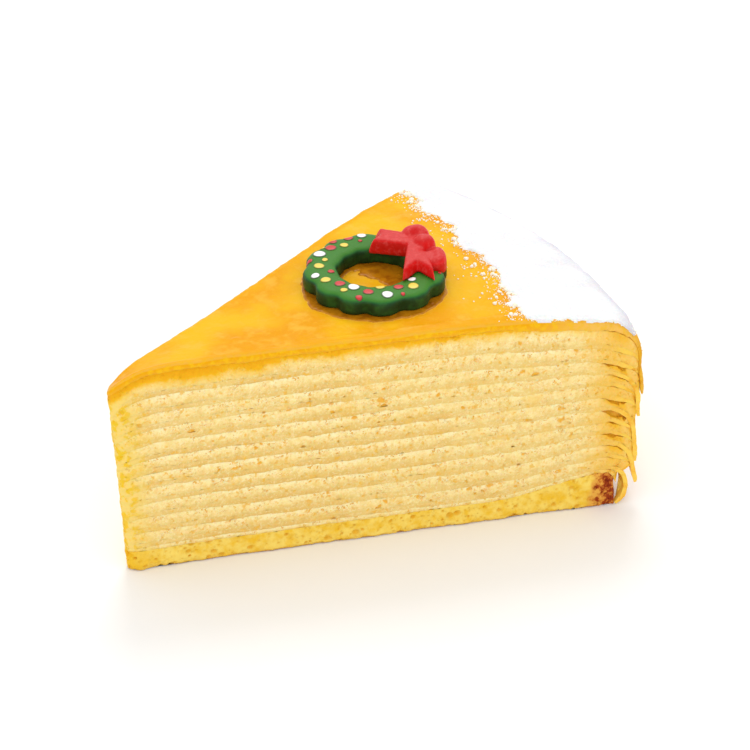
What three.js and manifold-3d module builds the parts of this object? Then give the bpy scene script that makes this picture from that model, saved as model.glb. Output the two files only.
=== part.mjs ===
// A ninth of a round crepe cake: twelve crepes with cream between them on a thin sponge,
// and a moulded sugar wreath with a bow lying on the glazed top. Millimetres, +Z up.
// The slice points along -X. The origin is under the middle of its bounding box, on the table.
import * as THREE from "three";
import { mergeVertices } from "three/addons/utils/BufferGeometryUtils.js";
import Module from "manifold-3d";

// ---------------------------------------------------------------- driving dimensions
const HEIGHT = 49.2; // table to the glazed top
const HALF_ANGLE = THREE.MathUtils.degToRad(20); // either side of the middle of the slice
const APEX_X = -55; // where the two cut planes would meet
const NOSE_RADIUS = 2; // the tip is a soft round edge
const NOSE_PUSH = 3.8; // the knife has pushed the tip forwards, at the table
const NOSE_LEAN = 5.5; // and this much more at the top
const NOSE_REACH = 14; // how far back from the tip that push is felt
const CREAM_RADIUS = 105; // the filling stops here, and the bare crepes bend down

const CREPE = 1.2;
const CREAM = 2.43;
const FIRST_CREAM = 0.9; // the thin spread that holds the first crepe on the sponge
const UPPER_CREAMS = [2.8, 4.1]; // the thicker spreads under the last two crepes
const TOP_CREPE = 2; // the top crepe with its glaze

const SPONGE = 4.7; // sponge thickness over most of the slice
const SPONGE_SWELL = 3.6; // it is this much thicker at the rim
const SWELL_START = 80; // and begins to thicken here
const SPONGE_RADIUS = 107.1;

const CROWN_START = 70; // the top is level to here
const CROWN_DROP = 3.7; // and has sunk this much where the crepes bend
const FRONT_RISE = 0.9; // it stands a little higher at the front of the tip
const BACK_SAG = 1.3; // and a little lower along the back cut
const NOSE_DROOP = 5.2; // and bends down at the very tip
const NOSE_BEND = 6; // within about this distance
const SETTLE = 0.8; // towards the rim the layers under the top one have settled this much
const SETTLE_START = 74;
const SETTLE_END = 92;

// How the edge of each crepe drapes past the cream, from the lowest crepe to the top one:
// how far out its bend goes, the slope it bends to, and how far it hangs on after that.
const DRAPES = [
  { reach: 4, slope: 88, hang: 3.6 },
  { reach: 3.6, slope: 62, hang: 1 },
  { reach: 5, slope: 81, hang: 5.4 },
  { reach: 3.7, slope: 64, hang: 1.2 },
  { reach: 4, slope: 60, hang: 0.7 },
  { reach: 5.4, slope: 85, hang: 8.4 },
  { reach: 4.4, slope: 62, hang: 0.8 },
  { reach: 4.2, slope: 66, hang: 1.3 },
  { reach: 6, slope: 85, hang: 5.5 },
  { reach: 5.3, slope: 64, hang: 1.2 },
  { reach: 5.5, slope: 61, hang: 0.8 },
  { reach: 7.1, slope: 88, hang: 9.3 },
];
const CREPES = DRAPES.length;
const DRAPE_THICKNESS = 0.75;

const WREATH_RADIUS = 15.25;
const WREATH_HOLE = 7.7;
const WREATH_HEIGHT = 4;
const WREATH_LOBES = 12;
const WREATH_DISTANCE = 63.74; // apex to the wreath's centre
const WREATH_ASIDE = 0.67; // the centre is this far behind the middle of the slice
const WREATH_REST = 48.94; // height of its flat underside
const WREATH_TILT = THREE.MathUtils.degToRad(-1.1); // it lies as the top does, lower behind
const BOW_TURN = THREE.MathUtils.degToRad(-33.7); // the bow's own x axis, seen from above
const TOUCH = 0.1; // air between the wreath and its bow

// mesh counts
const ACROSS = 6;
const ALONG = 8;
const BEND_STEPS = 4;

// ---------------------------------------------------------------- materials
const material = (color, roughness) =>
  new THREE.MeshStandardMaterial({ color, roughness, metalness: 0 });
const creamFinish = material(0xf7e0a4, 0.6);
const crepeFinish = material(0xecc474, 0.55);
const glazeFinish = material(0xf7b426, 0.15);
const spongeFinish = material(0xe8bf50, 0.85);
const greenFinish = material(0x2f7a2c, 0.45);
const redFinish = material(0xd8242a, 0.45);

// ---------------------------------------------------------------- the stack's own surfaces
const smooth = (low, high, x) => THREE.MathUtils.smoothstep(x, low, high);

const spongeTop = (r) => SPONGE + SPONGE_SWELL * smooth(SWELL_START, CREAM_RADIUS, r);

// The height of the top, at distance r from the apex and angle a from the middle.
function topOf(r, a) {
  const past = Math.max(0, (r - CROWN_START) / (CREAM_RADIUS - CROWN_START));
  const front = (1 - a / HALF_ANGLE) / 2;
  const rise = FRONT_RISE * front * Math.max(0, 1 - r / 55);
  const sag = BACK_SAG * (1 - front) * (1 - (r / CREAM_RADIUS) ** 2);
  const droop = NOSE_DROOP * Math.exp(-((r / NOSE_BEND) ** 2));
  return HEIGHT - CROWN_DROP * past ** 2 + rise - sag - droop;
}

// Heights of the layer boundaries above the sponge, as fractions of the stack:
// faces[0] is the sponge, faces[1] the underside of crepe 1, faces[2] its top, and so on.
function stackFaces() {
  const faces = [0];
  for (let k = 1; k <= CREPES; k += 1) {
    const filling = k === 1 ? FIRST_CREAM : (UPPER_CREAMS[k - CREPES + 1] ?? CREAM);
    faces.push(faces.at(-1) + filling);
    faces.push(faces.at(-1) + (k === CREPES ? TOP_CREPE : CREPE));
  }
  return faces.map((height) => height / faces.at(-1));
}
const FACES = stackFaces();

function faceHeight(face, r, a) {
  const settled = face < 2 * CREPES ? SETTLE * FACES[face] * smooth(SETTLE_START, SETTLE_END, r) : 0;
  return THREE.MathUtils.lerp(spongeTop(r), topOf(r, a), FACES[face]) - settled;
}

// ---------------------------------------------------------------- plan of the slice
// Distance from the apex to the round nose, along the direction at angle a from the middle.
function noseStart(a) {
  const centre = NOSE_RADIUS / Math.sin(HALF_ANGLE);
  const inside = Math.sin(HALF_ANGLE) ** 2 - Math.sin(a) ** 2;
  return centre * (Math.cos(a) - Math.sqrt(Math.max(0, inside)));
}

// A point of the slice from its distance from the apex, its direction and its height.
function place(r, a, z) {
  const push = NOSE_PUSH + NOSE_LEAN * (z / HEIGHT);
  const x = r * Math.cos(a) - push * Math.exp(-r / NOSE_REACH);
  return new THREE.Vector3(APEX_X + x, r * Math.sin(a), z);
}

const angleAt = (j) => HALF_ANGLE * ((2 * j) / ACROSS - 1);

// Distances from nose to rim, closer together towards both ends.
function radiusAt(i, a) {
  const even = i / ALONG;
  const share = even - (0.8 * Math.sin(2 * Math.PI * even)) / (2 * Math.PI);
  return THREE.MathUtils.lerp(noseStart(a), CREAM_RADIUS, share);
}

// ---------------------------------------------------------------- closed slabs
// A slab between two grids of points with the same rows (across) and columns (along).
// Both faces are split along the same diagonals, so slabs that share a grid meet exactly.
function slab(lower, upper) {
  const rows = lower.length;
  const columns = lower[0].length;
  const points = [...lower.flat(), ...upper.flat()];
  const low = (j, i) => j * columns + i;
  const high = (j, i) => rows * columns + low(j, i);
  const faces = [];
  const quad = (a, b, c, d) => faces.push(a, b, c, a, c, d);
  for (let j = 0; j + 1 < rows; j += 1) {
    for (let i = 0; i + 1 < columns; i += 1) {
      quad(high(j, i), high(j, i + 1), high(j + 1, i + 1), high(j + 1, i));
      faces.push(low(j, i), low(j + 1, i + 1), low(j, i + 1));
      faces.push(low(j, i), low(j + 1, i), low(j + 1, i + 1));
    }
  }
  const last = columns - 1;
  for (let j = 0; j + 1 < rows; j += 1) {
    quad(low(j + 1, 0), low(j, 0), high(j, 0), high(j + 1, 0));
    quad(low(j, last), low(j + 1, last), high(j + 1, last), high(j, last));
  }
  for (let i = 0; i < last; i += 1) {
    quad(low(0, i), low(0, i + 1), high(0, i + 1), high(0, i));
    quad(low(rows - 1, i + 1), low(rows - 1, i), high(rows - 1, i), high(rows - 1, i + 1));
  }
  const geometry = new THREE.BufferGeometry().setFromPoints(points);
  geometry.setIndex(faces);
  geometry.computeVertexNormals();
  return geometry;
}

const grid = (point) =>
  Array.from({ length: ACROSS + 1 }, (_, j) => point(angleAt(j)));

// The points of one layer boundary from nose to rim, at angle a.
const boundary = (face, a) =>
  Array.from({ length: ALONG + 1 }, (_, i) => {
    const r = radiusAt(i, a);
    return place(r, a, faceHeight(face, r, a));
  });

const creamGeometry = (k) =>
  slab(
    grid((a) => boundary(2 * k - 2, a)),
    grid((a) => boundary(2 * k - 1, a)),
  );

// ---------------------------------------------------------------- crepes
// The middle line of crepe k past the cream: a bend, then a straight hang. Each point
// carries its slope and how far along the bend it lies.
function drape(k, a) {
  const { reach, slope, hang } = DRAPES[k - 1];
  const middle = (r) => (faceHeight(2 * k - 1, r, a) + faceHeight(2 * k, r, a)) / 2;
  const first = Math.atan(middle(CREAM_RADIUS - 1) - middle(CREAM_RADIUS));
  const last = THREE.MathUtils.degToRad(slope);
  const radius = reach / (Math.sin(last) - Math.sin(first));
  const points = Array.from({ length: BEND_STEPS }, (_, i) => {
    const along = (i + 1) / BEND_STEPS;
    const turned = THREE.MathUtils.lerp(first, last, along);
    return {
      r: CREAM_RADIUS + radius * (Math.sin(turned) - Math.sin(first)),
      z: middle(CREAM_RADIUS) - radius * (Math.cos(first) - Math.cos(turned)),
      slope: turned,
      along,
    };
  });
  const end = points.at(-1);
  const length = hang * (1 + 0.12 * Math.sin(9 * a + 1.7 * k));
  const tip = { r: end.r + length * Math.cos(last), z: end.z - length * Math.sin(last) };
  return [...points, { ...end, ...tip }];
}

// One face of crepe k: side is -1 for the underside and 1 for the top.
function crepeFace(k, a, side) {
  const inner = boundary(side < 0 ? 2 * k - 1 : 2 * k, a);
  const sheet = inner.at(-1).distanceTo(boundary(side < 0 ? 2 * k : 2 * k - 1, a).at(-1));
  const outer = drape(k, a).map(({ r, z, slope, along }) => {
    const half = (side * THREE.MathUtils.lerp(sheet, DRAPE_THICKNESS, along)) / 2;
    return place(r + half * Math.sin(slope), a, z + half * Math.cos(slope));
  });
  return [...inner, ...outer];
}

const crepeGeometry = (k) =>
  slab(
    grid((a) => crepeFace(k, a, -1)),
    grid((a) => crepeFace(k, a, 1)),
  );

// ---------------------------------------------------------------- sponge
// The sponge's rim is a browned half round, from the top of the sponge to the table.
function spongeGeometry() {
  const swell = [0.3, 0.62, 0.9, 1];
  const upperRim = [0.97, 0.85, 0.62, 0.45];
  const lowerRim = [0, 0, 0.06, 0.3];
  const top = spongeTop(CREAM_RADIUS);
  const rim = (a, heights) =>
    swell.map((s, i) =>
      place(CREAM_RADIUS + s * (SPONGE_RADIUS - CREAM_RADIUS), a, top * heights[i]),
    );
  const under = (a) =>
    Array.from({ length: ALONG + 1 }, (_, i) => place(radiusAt(i, a), a, 0));
  return slab(
    grid((a) => [...under(a), ...rim(a, lowerRim)]),
    grid((a) => [...boundary(0, a), ...rim(a, upperRim)]),
  );
}

// ---------------------------------------------------------------- wreath and bow
const wasm = await Module();
wasm.setup();

function toSolid(geometry) {
  const bare = geometry.index ? geometry.toNonIndexed() : geometry.clone();
  bare.deleteAttribute("normal");
  bare.deleteAttribute("uv");
  const merged = mergeVertices(bare, 1e-4);
  return new wasm.Manifold(
    new wasm.Mesh({
      numProp: 3,
      vertProperties: merged.attributes.position.array,
      triVerts: new Uint32Array(merged.index.array),
    }),
  );
}

function toGeometry(solid) {
  const mesh = solid.getMesh();
  const geometry = new THREE.BufferGeometry();
  geometry.setAttribute("position", new THREE.BufferAttribute(mesh.vertProperties, 3));
  geometry.setIndex(new THREE.BufferAttribute(mesh.triVerts, 1));
  geometry.computeVertexNormals();
  return geometry;
}

// A ring with a nearly flat top, rounded shoulders and soft lobes round its outer side.
function wreathGeometry() {
  const profile = new THREE.Path()
    .moveTo(WREATH_HOLE - 0.5, 0)
    .lineTo(WREATH_RADIUS, 0)
    .lineTo(WREATH_RADIUS, WREATH_HEIGHT - 1.6)
    .quadraticCurveTo(WREATH_RADIUS - 0.2, WREATH_HEIGHT - 0.2, WREATH_RADIUS - 1.8, WREATH_HEIGHT)
    .lineTo(WREATH_HOLE + 1, WREATH_HEIGHT)
    .quadraticCurveTo(WREATH_HOLE, WREATH_HEIGHT - 0.1, WREATH_HOLE - 0.3, WREATH_HEIGHT - 1.2)
    .lineTo(WREATH_HOLE - 0.5, 0);
  const geometry = new THREE.LatheGeometry(profile.getPoints(2), 4 * WREATH_LOBES);
  const position = geometry.attributes.position;
  const point = new THREE.Vector3();
  for (let i = 0; i < position.count; i += 1) {
    point.fromBufferAttribute(position, i);
    const r = Math.hypot(point.x, point.z);
    const lobe = Math.abs(Math.sin((WREATH_LOBES / 2) * Math.atan2(point.z, point.x)));
    const outer = smooth(WREATH_HOLE + 2, WREATH_RADIUS, r);
    const scale = 1 - 0.075 * outer * (1 - lobe);
    position.setXYZ(i, point.x * scale, point.y, point.z * scale);
  }
  return geometry.rotateX(Math.PI / 2);
}

// A ribbon end lying flat, from the knot outwards along +X, with a notch cut in its end.
function tail(length, nearWidth, farWidth, notch, thickness) {
  const outline = new THREE.Shape()
    .moveTo(-1.5, -nearWidth / 2)
    .lineTo(length, -farWidth / 2)
    .lineTo(length - notch, 0)
    .lineTo(length, farWidth / 2)
    .lineTo(-1.5, nearWidth / 2)
    .closePath();
  return new THREE.ExtrudeGeometry(outline, { depth: thickness, bevelEnabled: false });
}

// A padded lump of the bow, as a flattened ball.
const lump = (length, width, height) =>
  new THREE.SphereGeometry(1, 16, 10).rotateX(Math.PI / 2).scale(length / 2, width / 2, height);

function bowGeometry() {
  const turned = (geometry, degrees, x, y, z = 0) =>
    geometry.rotateZ(THREE.MathUtils.degToRad(degrees)).translate(x, y, z);
  const pieces = [
    turned(tail(8.6, 4.2, 5.6, 1.6, 3), 148, 7.8, 6),
    turned(tail(11.4, 4, 6.4, 2.8, 2.6), -80, 8.5, 5.4),
    turned(lump(7.4, 5.4, 4.6), 118, 8, 10.6),
    turned(lump(7.4, 5.4, 4.4), 100, 13, 1.4),
    turned(lump(5.4, 5, 5.2), 30, 10.4, 6.2),
  ];
  const whole = pieces.map(toSolid).reduce((sum, piece) => sum.add(piece));
  const above = toSolid(new THREE.BoxGeometry(60, 60, 20).translate(0, 0, 10));
  return toGeometry(whole.intersect(above));
}

// ---------------------------------------------------------------- the slice
const slice = new THREE.Group();

function add(name, geometry, finish, parent = slice) {
  const mesh = new THREE.Mesh(geometry, finish);
  mesh.name = name;
  parent.add(mesh);
}

const numbered = (name, k) => name + "_" + String(k).padStart(2, "0");

add("sponge", spongeGeometry(), spongeFinish);
for (let k = 1; k <= CREPES; k += 1) {
  add(numbered("cream", k), creamGeometry(k), creamFinish);
  add(numbered("crepe", k), crepeGeometry(k), k === CREPES ? glazeFinish : crepeFinish);
}

const decoration = new THREE.Group();
decoration.position.set(APEX_X + WREATH_DISTANCE, WREATH_ASIDE, WREATH_REST);
decoration.rotation.set(WREATH_TILT, 0, BOW_TURN);
slice.add(decoration);
add("wreath_ring", wreathGeometry(), greenFinish, decoration);
add(
  "wreath_bow",
  bowGeometry().translate(0, 0, WREATH_HEIGHT + TOUCH),
  redFinish,
  decoration,
);

export default slice;
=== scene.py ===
"""The finished look of a crepe cake slice: crepes and cream, glaze, sugar, wreath and bow."""

import math

import bpy
import numpy as np
from mathutils import Matrix, Vector


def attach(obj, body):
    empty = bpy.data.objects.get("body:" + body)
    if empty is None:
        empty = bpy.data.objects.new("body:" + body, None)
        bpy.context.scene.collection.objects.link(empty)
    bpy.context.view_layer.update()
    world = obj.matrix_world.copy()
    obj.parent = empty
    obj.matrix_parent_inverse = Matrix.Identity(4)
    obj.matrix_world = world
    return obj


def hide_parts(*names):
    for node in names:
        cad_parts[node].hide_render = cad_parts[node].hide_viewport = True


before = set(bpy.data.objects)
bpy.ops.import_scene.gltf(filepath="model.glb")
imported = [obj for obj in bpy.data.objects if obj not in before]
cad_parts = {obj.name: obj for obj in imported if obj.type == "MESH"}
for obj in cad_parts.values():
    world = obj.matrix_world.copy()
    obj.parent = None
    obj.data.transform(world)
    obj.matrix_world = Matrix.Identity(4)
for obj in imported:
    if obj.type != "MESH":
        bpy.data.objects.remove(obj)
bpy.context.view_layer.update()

MM = 0.001

# ---------------------------------------------------------------- the slice, in millimetres
HEIGHT = 49.2  # table to the glazed top
HALF_ANGLE = math.radians(20)
APEX_X = -55.0  # where the two cut planes would meet
NOSE_RADIUS = 2.0
NOSE_CENTRE = NOSE_RADIUS / math.sin(HALF_ANGLE)
NOSE_PUSH = 3.8
NOSE_LEAN = 5.5
NOSE_REACH = 14.0
CREAM_RADIUS = 105.0  # past this the bare crepes bend down

CREPE = 1.2
CREAM = 2.43
FIRST_CREAM = 0.9
UPPER_CREAMS = {11: 2.8, 12: 4.1}
TOP_CREPE = 2.0
CREPES = 12
SPONGE = 4.7
SPONGE_SWELL = 3.6
SWELL_START = 80.0
SPONGE_RADIUS = 107.1

CROWN_START = 70.0
CROWN_DROP = 3.7
FRONT_RISE = 0.9
BACK_SAG = 1.3
NOSE_DROOP = 5.2
NOSE_BEND = 6.0
SETTLE = 0.8  # towards the rim the layers under the top one have settled this much
SETTLE_START = 74.0
SETTLE_END = 92.0

# reach of the bend, slope it bends to and the hang after it, from the lowest crepe up
DRAPES = [
    (4.3, 88, 3.6), (3.6, 62, 1.0), (5.6, 82, 4.6), (3.7, 64, 1.2),
    (4.0, 60, 0.7), (5.9, 86, 8.0), (4.4, 62, 0.8), (4.2, 66, 1.3),
    (6.4, 86, 5.3), (5.3, 64, 1.2), (5.5, 61, 0.8), (7.1, 88, 9.3),
]
DRAPE_THICKNESS = 0.95  # of a crepe from the end of its bend
FRINGE_THICKNESS = 0.5  # and at its very edge
# how much of the crepe is torn away and how much longer the strand at the front cut is
TORN_AWAY = {1: (3.4, 2.0), 3: (3.0, 0.6)}

# the cut faces
BAND_BULGE = 0.18  # how far the cream of each layer stands proud of the crepe under it
BAND_CREST = 0.24  # share of a layer, from its top, where it stands proudest
KNIFE_MARKS = (45.0, 55.3, 66.8, 86.0, 95.0)  # where the knife has dragged the bubbles open
CREASE_RADIUS = 0.8  # the rounded edge between the top and a cut face
SOAK_DEPTH = 3.1  # how far the glaze has coloured the cut faces

# the sugar
SUGAR_START = 86.2  # distance from the apex, at the front cut
SUGAR_SLANT = 12.0  # and this much further out at the back cut

# the wreath
WREATH_RADIUS = 15.25
WREATH_HOLE = 7.7
WREATH_HEIGHT = 4.0
WREATH_LOBES = 12
WREATH_DISTANCE = 63.74
WREATH_ASIDE = 0.67
WREATH_REST = 48.94
WREATH_TILT = math.radians(-1.1)
BOW_TURN = math.radians(-33.7)


# ---------------------------------------------------------------- random fields
def scatter(i, j, k, seed):
    """A number from 0 to 1 for each whole-numbered cell."""
    mixed = (i.astype(np.int64) * 374761393 + j.astype(np.int64) * 668265263
             + k.astype(np.int64) * 1440662683 + seed * 974634777)
    mixed = (mixed ^ (mixed >> 13)) * 1274126177
    mixed = (mixed ^ (mixed >> 16)) & 0xFFFF
    return mixed / 65535.0


def lumps(x, y, z, size, seed):
    """A soft random field from -1 to 1, with lumps of about that size."""
    x, y, z = np.broadcast_arrays(np.asarray(x, float), np.asarray(y, float), np.asarray(z, float))
    places = [np.asarray(c) / size for c in (x, y, z)]
    cells = [np.floor(p) for p in places]
    shares = [p - c for p, c in zip(places, cells)]
    shares = [s * s * (3 - 2 * s) for s in shares]
    total = np.zeros(x.shape)
    for di in (0, 1):
        for dj in (0, 1):
            for dk in (0, 1):
                weight = ((shares[0] if di else 1 - shares[0])
                          * (shares[1] if dj else 1 - shares[1])
                          * (shares[2] if dk else 1 - shares[2]))
                total += weight * scatter(cells[0] + di, cells[1] + dj, cells[2] + dk, seed)
    return 2 * total - 1


def bubbles(x, z, layer, cell, chance, seed):
    """Round holes: 1 in the middle of a hole and 0 between them. chance is the share of
    cells that hold one."""
    deepest = np.zeros(len(x))
    level = np.full(len(x), layer, float)
    for di in (-1, 0, 1):
        for dj in (-1, 0, 1):
            i = np.floor(x / cell) + di
            j = np.floor(z / cell) + dj
            hole_x = (i + scatter(i, j, level, seed)) * cell
            hole_z = (j + scatter(i, j, level, seed + 1)) * cell
            radius = cell * (0.16 + 0.28 * scatter(i, j, level, seed + 2) ** 2)
            here = scatter(i, j, level, seed + 3) < chance
            away = np.hypot(x - hole_x, 1.25 * (z - hole_z)) / radius
            deepest = np.maximum(deepest, here * np.sqrt(np.clip(1 - away**2, 0, 1)))
    return deepest


def smooth(low, high, x):
    share = np.clip((x - low) / (high - low), 0, 1)
    return share * share * (3 - 2 * share)


# ---------------------------------------------------------------- the stack's own surfaces
def sponge_top(r):
    return SPONGE + SPONGE_SWELL * smooth(SWELL_START, CREAM_RADIUS, r)


def top_of(r, a):
    past = np.maximum(0, (r - CROWN_START) / (CREAM_RADIUS - CROWN_START))
    front = (1 - a / HALF_ANGLE) / 2
    rise = FRONT_RISE * front * np.maximum(0, 1 - r / 55)
    sag = BACK_SAG * (1 - front) * (1 - (r / CREAM_RADIUS) ** 2)
    droop = NOSE_DROOP * np.exp(-((r / NOSE_BEND) ** 2))
    return HEIGHT - CROWN_DROP * past**2 + rise - sag - droop


def stack_faces():
    faces = [0.0]
    for k in range(1, CREPES + 1):
        faces.append(faces[-1] + (FIRST_CREAM if k == 1 else UPPER_CREAMS.get(k, CREAM)))
        faces.append(faces[-1] + (TOP_CREPE if k == CREPES else CREPE))
    return [height / faces[-1] for height in faces]


FACES = stack_faces()


def waver(face, r, a):
    """How far a layer boundary strays from its even height: the undersides of the crepes
    are smoother than their tops."""
    if face in (0, 2 * CREPES):
        return np.zeros(np.broadcast(r, a).shape)
    across = a * r
    slow = lumps(r, across, face * 31.0, 9.0, 11) * 0.22
    quick = lumps(r, across, face * 31.0, 2.6, 12) * 0.2
    fine = lumps(r, across, face * 31.0, 0.9, 13) * (0.1 if face % 2 else 0.17)
    calm = 0.5 if face <= 2 else 1.0
    return calm * (slow + quick + fine)


def face_height(face, r, a):
    even = sponge_top(r) + (top_of(r, a) - sponge_top(r)) * FACES[face]
    if face < 2 * CREPES:
        even = even - SETTLE * FACES[face] * smooth(SETTLE_START, SETTLE_END, r)
    return even + waver(face, r, a)


def nose_start(a):
    inside = np.sin(HALF_ANGLE) ** 2 - np.sin(a) ** 2
    return NOSE_CENTRE * (np.cos(a) - np.sqrt(np.maximum(0, inside)))


def place(r, a, z):
    push = NOSE_PUSH + NOSE_LEAN * (z / HEIGHT)
    x = r * np.cos(a) - push * np.exp(-r / NOSE_REACH)
    return np.stack([APEX_X + x, r * np.sin(a), z], axis=-1)


def hang_length(k, a):
    """How far crepe k hangs on past its bend, torn unevenly round the rim. The ends of the
    two lowest long ones are torn away beside the front cut, all but a strand at the cut."""
    hang = DRAPES[k - 1][2]
    even = hang * (1 + 0.12 * np.sin(9 * a + 1.7 * k))
    around = a * CREAM_RADIUS
    from_front = (a + HALF_ANGLE) * CREAM_RADIUS
    torn = 0.55 * lumps(around, k * 17.0, 0, 3.1, 21) + 0.3 * lumps(around, k * 17.0, 0, 0.9, 22)
    long_part = min(1.0, 0.35 + hang / 8)
    if k in TORN_AWAY:
        gone, strand = TORN_AWAY[k]
        away = smooth(1.2, 2.4, from_front) * (1 - smooth(13, 17, from_front))
        return np.maximum((even + strand) * (1 - away) - gone * away + torn * long_part, -gone - 0.5)
    if k == 12:
        even = even + 1.2 * (1 - smooth(0.4, 5.0, from_front))
    return np.maximum(0.3, even + torn * long_part)


def bend_of(k, a):
    """The bend of crepe k over the rim: its radius, first and last slope, starting height."""
    reach, slope, _ = DRAPES[k - 1]
    rim = np.full(np.shape(a), CREAM_RADIUS)
    start = (face_height(2 * k - 1, rim, a) + face_height(2 * k, rim, a)) / 2
    first = np.arctan((top_of(rim - 1, a) - top_of(rim, a)) * FACES[2 * k])
    last = math.radians(slope)
    return reach / (math.sin(last) - np.sin(first)), first, last, start


def drape(k, a, s):
    """The middle line of crepe k, s past the cream: distance, height, slope, length of bend."""
    radius, first, last, start = bend_of(k, a)
    bend = radius * (last - first)
    turned = first + (last - first) * np.clip(s / bend, 0, 1)
    straight = np.maximum(0, s - bend)
    r = CREAM_RADIUS + radius * (np.sin(turned) - np.sin(first)) + straight * math.cos(last)
    z = start - radius * (np.cos(first) - np.cos(turned)) - straight * math.sin(last)
    if k == 1:
        hook = straight / 4.6
        r = r + 0.5 * smooth(0, 1, hook) - 2.2 * hook**2.4
        turned = turned + 0.8 * hook
    if k == 3:
        flap = np.maximum(0, straight - 4.5)
        r = r - 0.03 * flap**2
    return r, z, turned, bend


def crepe_skin(k, a, s, side):
    """A point on crepe k past the cream, on its underside (side -1) or its top (side 1)."""
    r, z, slope, bend = drape(k, a, s)
    rim = np.full(np.shape(a), CREAM_RADIUS)
    sheet = face_height(2 * k, rim, a) - face_height(2 * k - 1, rim, a)
    whole = bend + hang_length(k, a)
    thin = np.clip(s / bend, 0, 1)
    thickness = sheet + (DRAPE_THICKNESS - sheet) * thin
    left = np.clip((whole - s) / 1.0, 0, 1)
    thickness = FRINGE_THICKNESS + (thickness - FRINGE_THICKNESS) * np.sqrt(left)
    around = a * CREAM_RADIUS
    ruffle = smooth(1.0, 6.0, s) * (0.32 * lumps(around, s, k * 13.0, 7.0, 31)
                                    + 0.14 * lumps(around, s, k * 13.0, 2.2, 32))
    half = side * thickness / 2 + ruffle
    return r + half * np.sin(slope), np.maximum(z + half * np.cos(slope), 0.02)


COVERS = (3, 6, 9, 12)  # the long crepes, which hang down over the shorter ones under them


def to_cover(k, a, r, z, share):
    """Draws the end of a layer out to the long crepe that hangs over it or, below the torn
    edge of that one, to an uneven wall in line with it."""
    cover = min(c for c in COVERS if c >= k)
    radius, first, last, start = bend_of(cover, a)
    drop = np.maximum(0, start - z)
    turned = np.arccos(np.clip(np.cos(first) - drop / radius, math.cos(last), 1))
    bent = radius * (np.cos(first) - math.cos(last))
    s = radius * (turned - first) + np.maximum(0, drop - bent) / math.sin(last)
    end, _ = crepe_skin(cover, a, s, -1)
    bare = smooth(-0.5, 0.8, s - radius * (last - first) - hang_length(cover, a))
    uneven = 0.45 * lumps(a * CREAM_RADIUS, z, k * 5.0, 1.8, 33) - 0.3
    end = end - 0.05 - bare * uneven
    return r + np.maximum(0, end - r) * smooth(0.35, 1.0, share)


def end_of(k, a):
    """How far past its full edge the cream beside crepe k follows it."""
    radius, first, last, _ = bend_of(k, a)
    bend = radius * (last - first)
    if k == 1:
        return 0.6 * bend
    return 0.95 * bend if k in COVERS else bend + hang_length(k, a)


# ---------------------------------------------------------------- shop helpers
def deselect_all():
    if bpy.context.object and bpy.context.object.mode != "OBJECT":
        bpy.ops.object.mode_set(mode="OBJECT")
    bpy.ops.object.select_all(action="DESELECT")


def numbered(name, k):
    return f"{name}_{k:02d}"


def points_of(piece):
    points = np.empty(3 * len(piece.data.vertices))
    piece.data.vertices.foreach_get("co", points)
    return points.reshape(-1, 3)


def move_points(piece, points):
    piece.data.vertices.foreach_set("co", np.ascontiguousarray(points, dtype=float).ravel())
    piece.data.update()


def spun_slab(name, columns, rows, steps):
    """A strip of columns by rows stood on edge at distance 1 to 2 and spun through the
    angle of the slice, so that it is a plain closed wedge ring to be shaped afterwards."""
    deselect_all()
    bpy.ops.mesh.primitive_grid_add(x_subdivisions=columns, y_subdivisions=rows, size=1)
    slab = bpy.context.object
    slab.name = slab.data.name = name
    bpy.ops.object.mode_set(mode="EDIT")
    bpy.ops.mesh.select_all(action="SELECT")
    bpy.ops.transform.translate(value=(1.5, 0.5, 0))
    bpy.ops.transform.rotate(value=-math.pi / 2, orient_axis="X", center_override=(0, 0, 0))
    bpy.ops.transform.rotate(value=-HALF_ANGLE, orient_axis="Z", center_override=(0, 0, 0))
    bpy.ops.mesh.spin(steps=steps, angle=2 * HALF_ANGLE, center=(0, 0, 0), axis=(0, 0, 1))
    bpy.ops.mesh.normals_make_consistent(inside=False)
    bpy.ops.object.mode_set(mode="OBJECT")
    return slab


EDGE_CROWDING = 0.47


def crowd_to_cuts(a):
    """Draws the rows of points towards the two cuts, where the detail is."""
    share = a / HALF_ANGLE
    return HALF_ANGLE * np.clip(share * (1 + EDGE_CROWDING) - EDGE_CROWDING * share**3, -1, 1)


def slab_coordinates(slab, columns):
    """For every point: its column, its direction and its share of the height."""
    points = points_of(slab)
    a = np.arctan2(points[:, 1], points[:, 0])
    a = np.clip(a, -HALF_ANGLE, HALF_ANGLE)
    column = np.clip((np.hypot(points[:, 0], points[:, 1]) - 1) * columns, 0, columns)
    return column, crowd_to_cuts(a), np.clip(points[:, 2], 0, 1)


def split_outer_faces(slab, columns, cuts):
    """Splits the faces on the two cuts and on the nose into smaller ones."""
    column, a, _ = slab_coordinates(slab, columns)
    on_cut = np.abs(np.abs(a) - HALF_ANGLE) < 1e-4
    on_nose = column < 0.02
    mesh = slab.data
    bpy.ops.object.mode_set(mode="EDIT")
    bpy.ops.mesh.select_mode(type="FACE")
    bpy.ops.mesh.select_all(action="DESELECT")
    bpy.ops.object.mode_set(mode="OBJECT")
    for face in mesh.polygons:
        corners = list(face.vertices)
        one_side = np.ptp(np.sign(a[corners])) == 0
        face.select = bool((on_cut[corners].all() and one_side) or on_nose[corners].all())
    bpy.ops.object.mode_set(mode="EDIT")
    bpy.ops.mesh.subdivide(number_cuts=cuts)
    bpy.ops.object.mode_set(mode="OBJECT")


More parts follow.
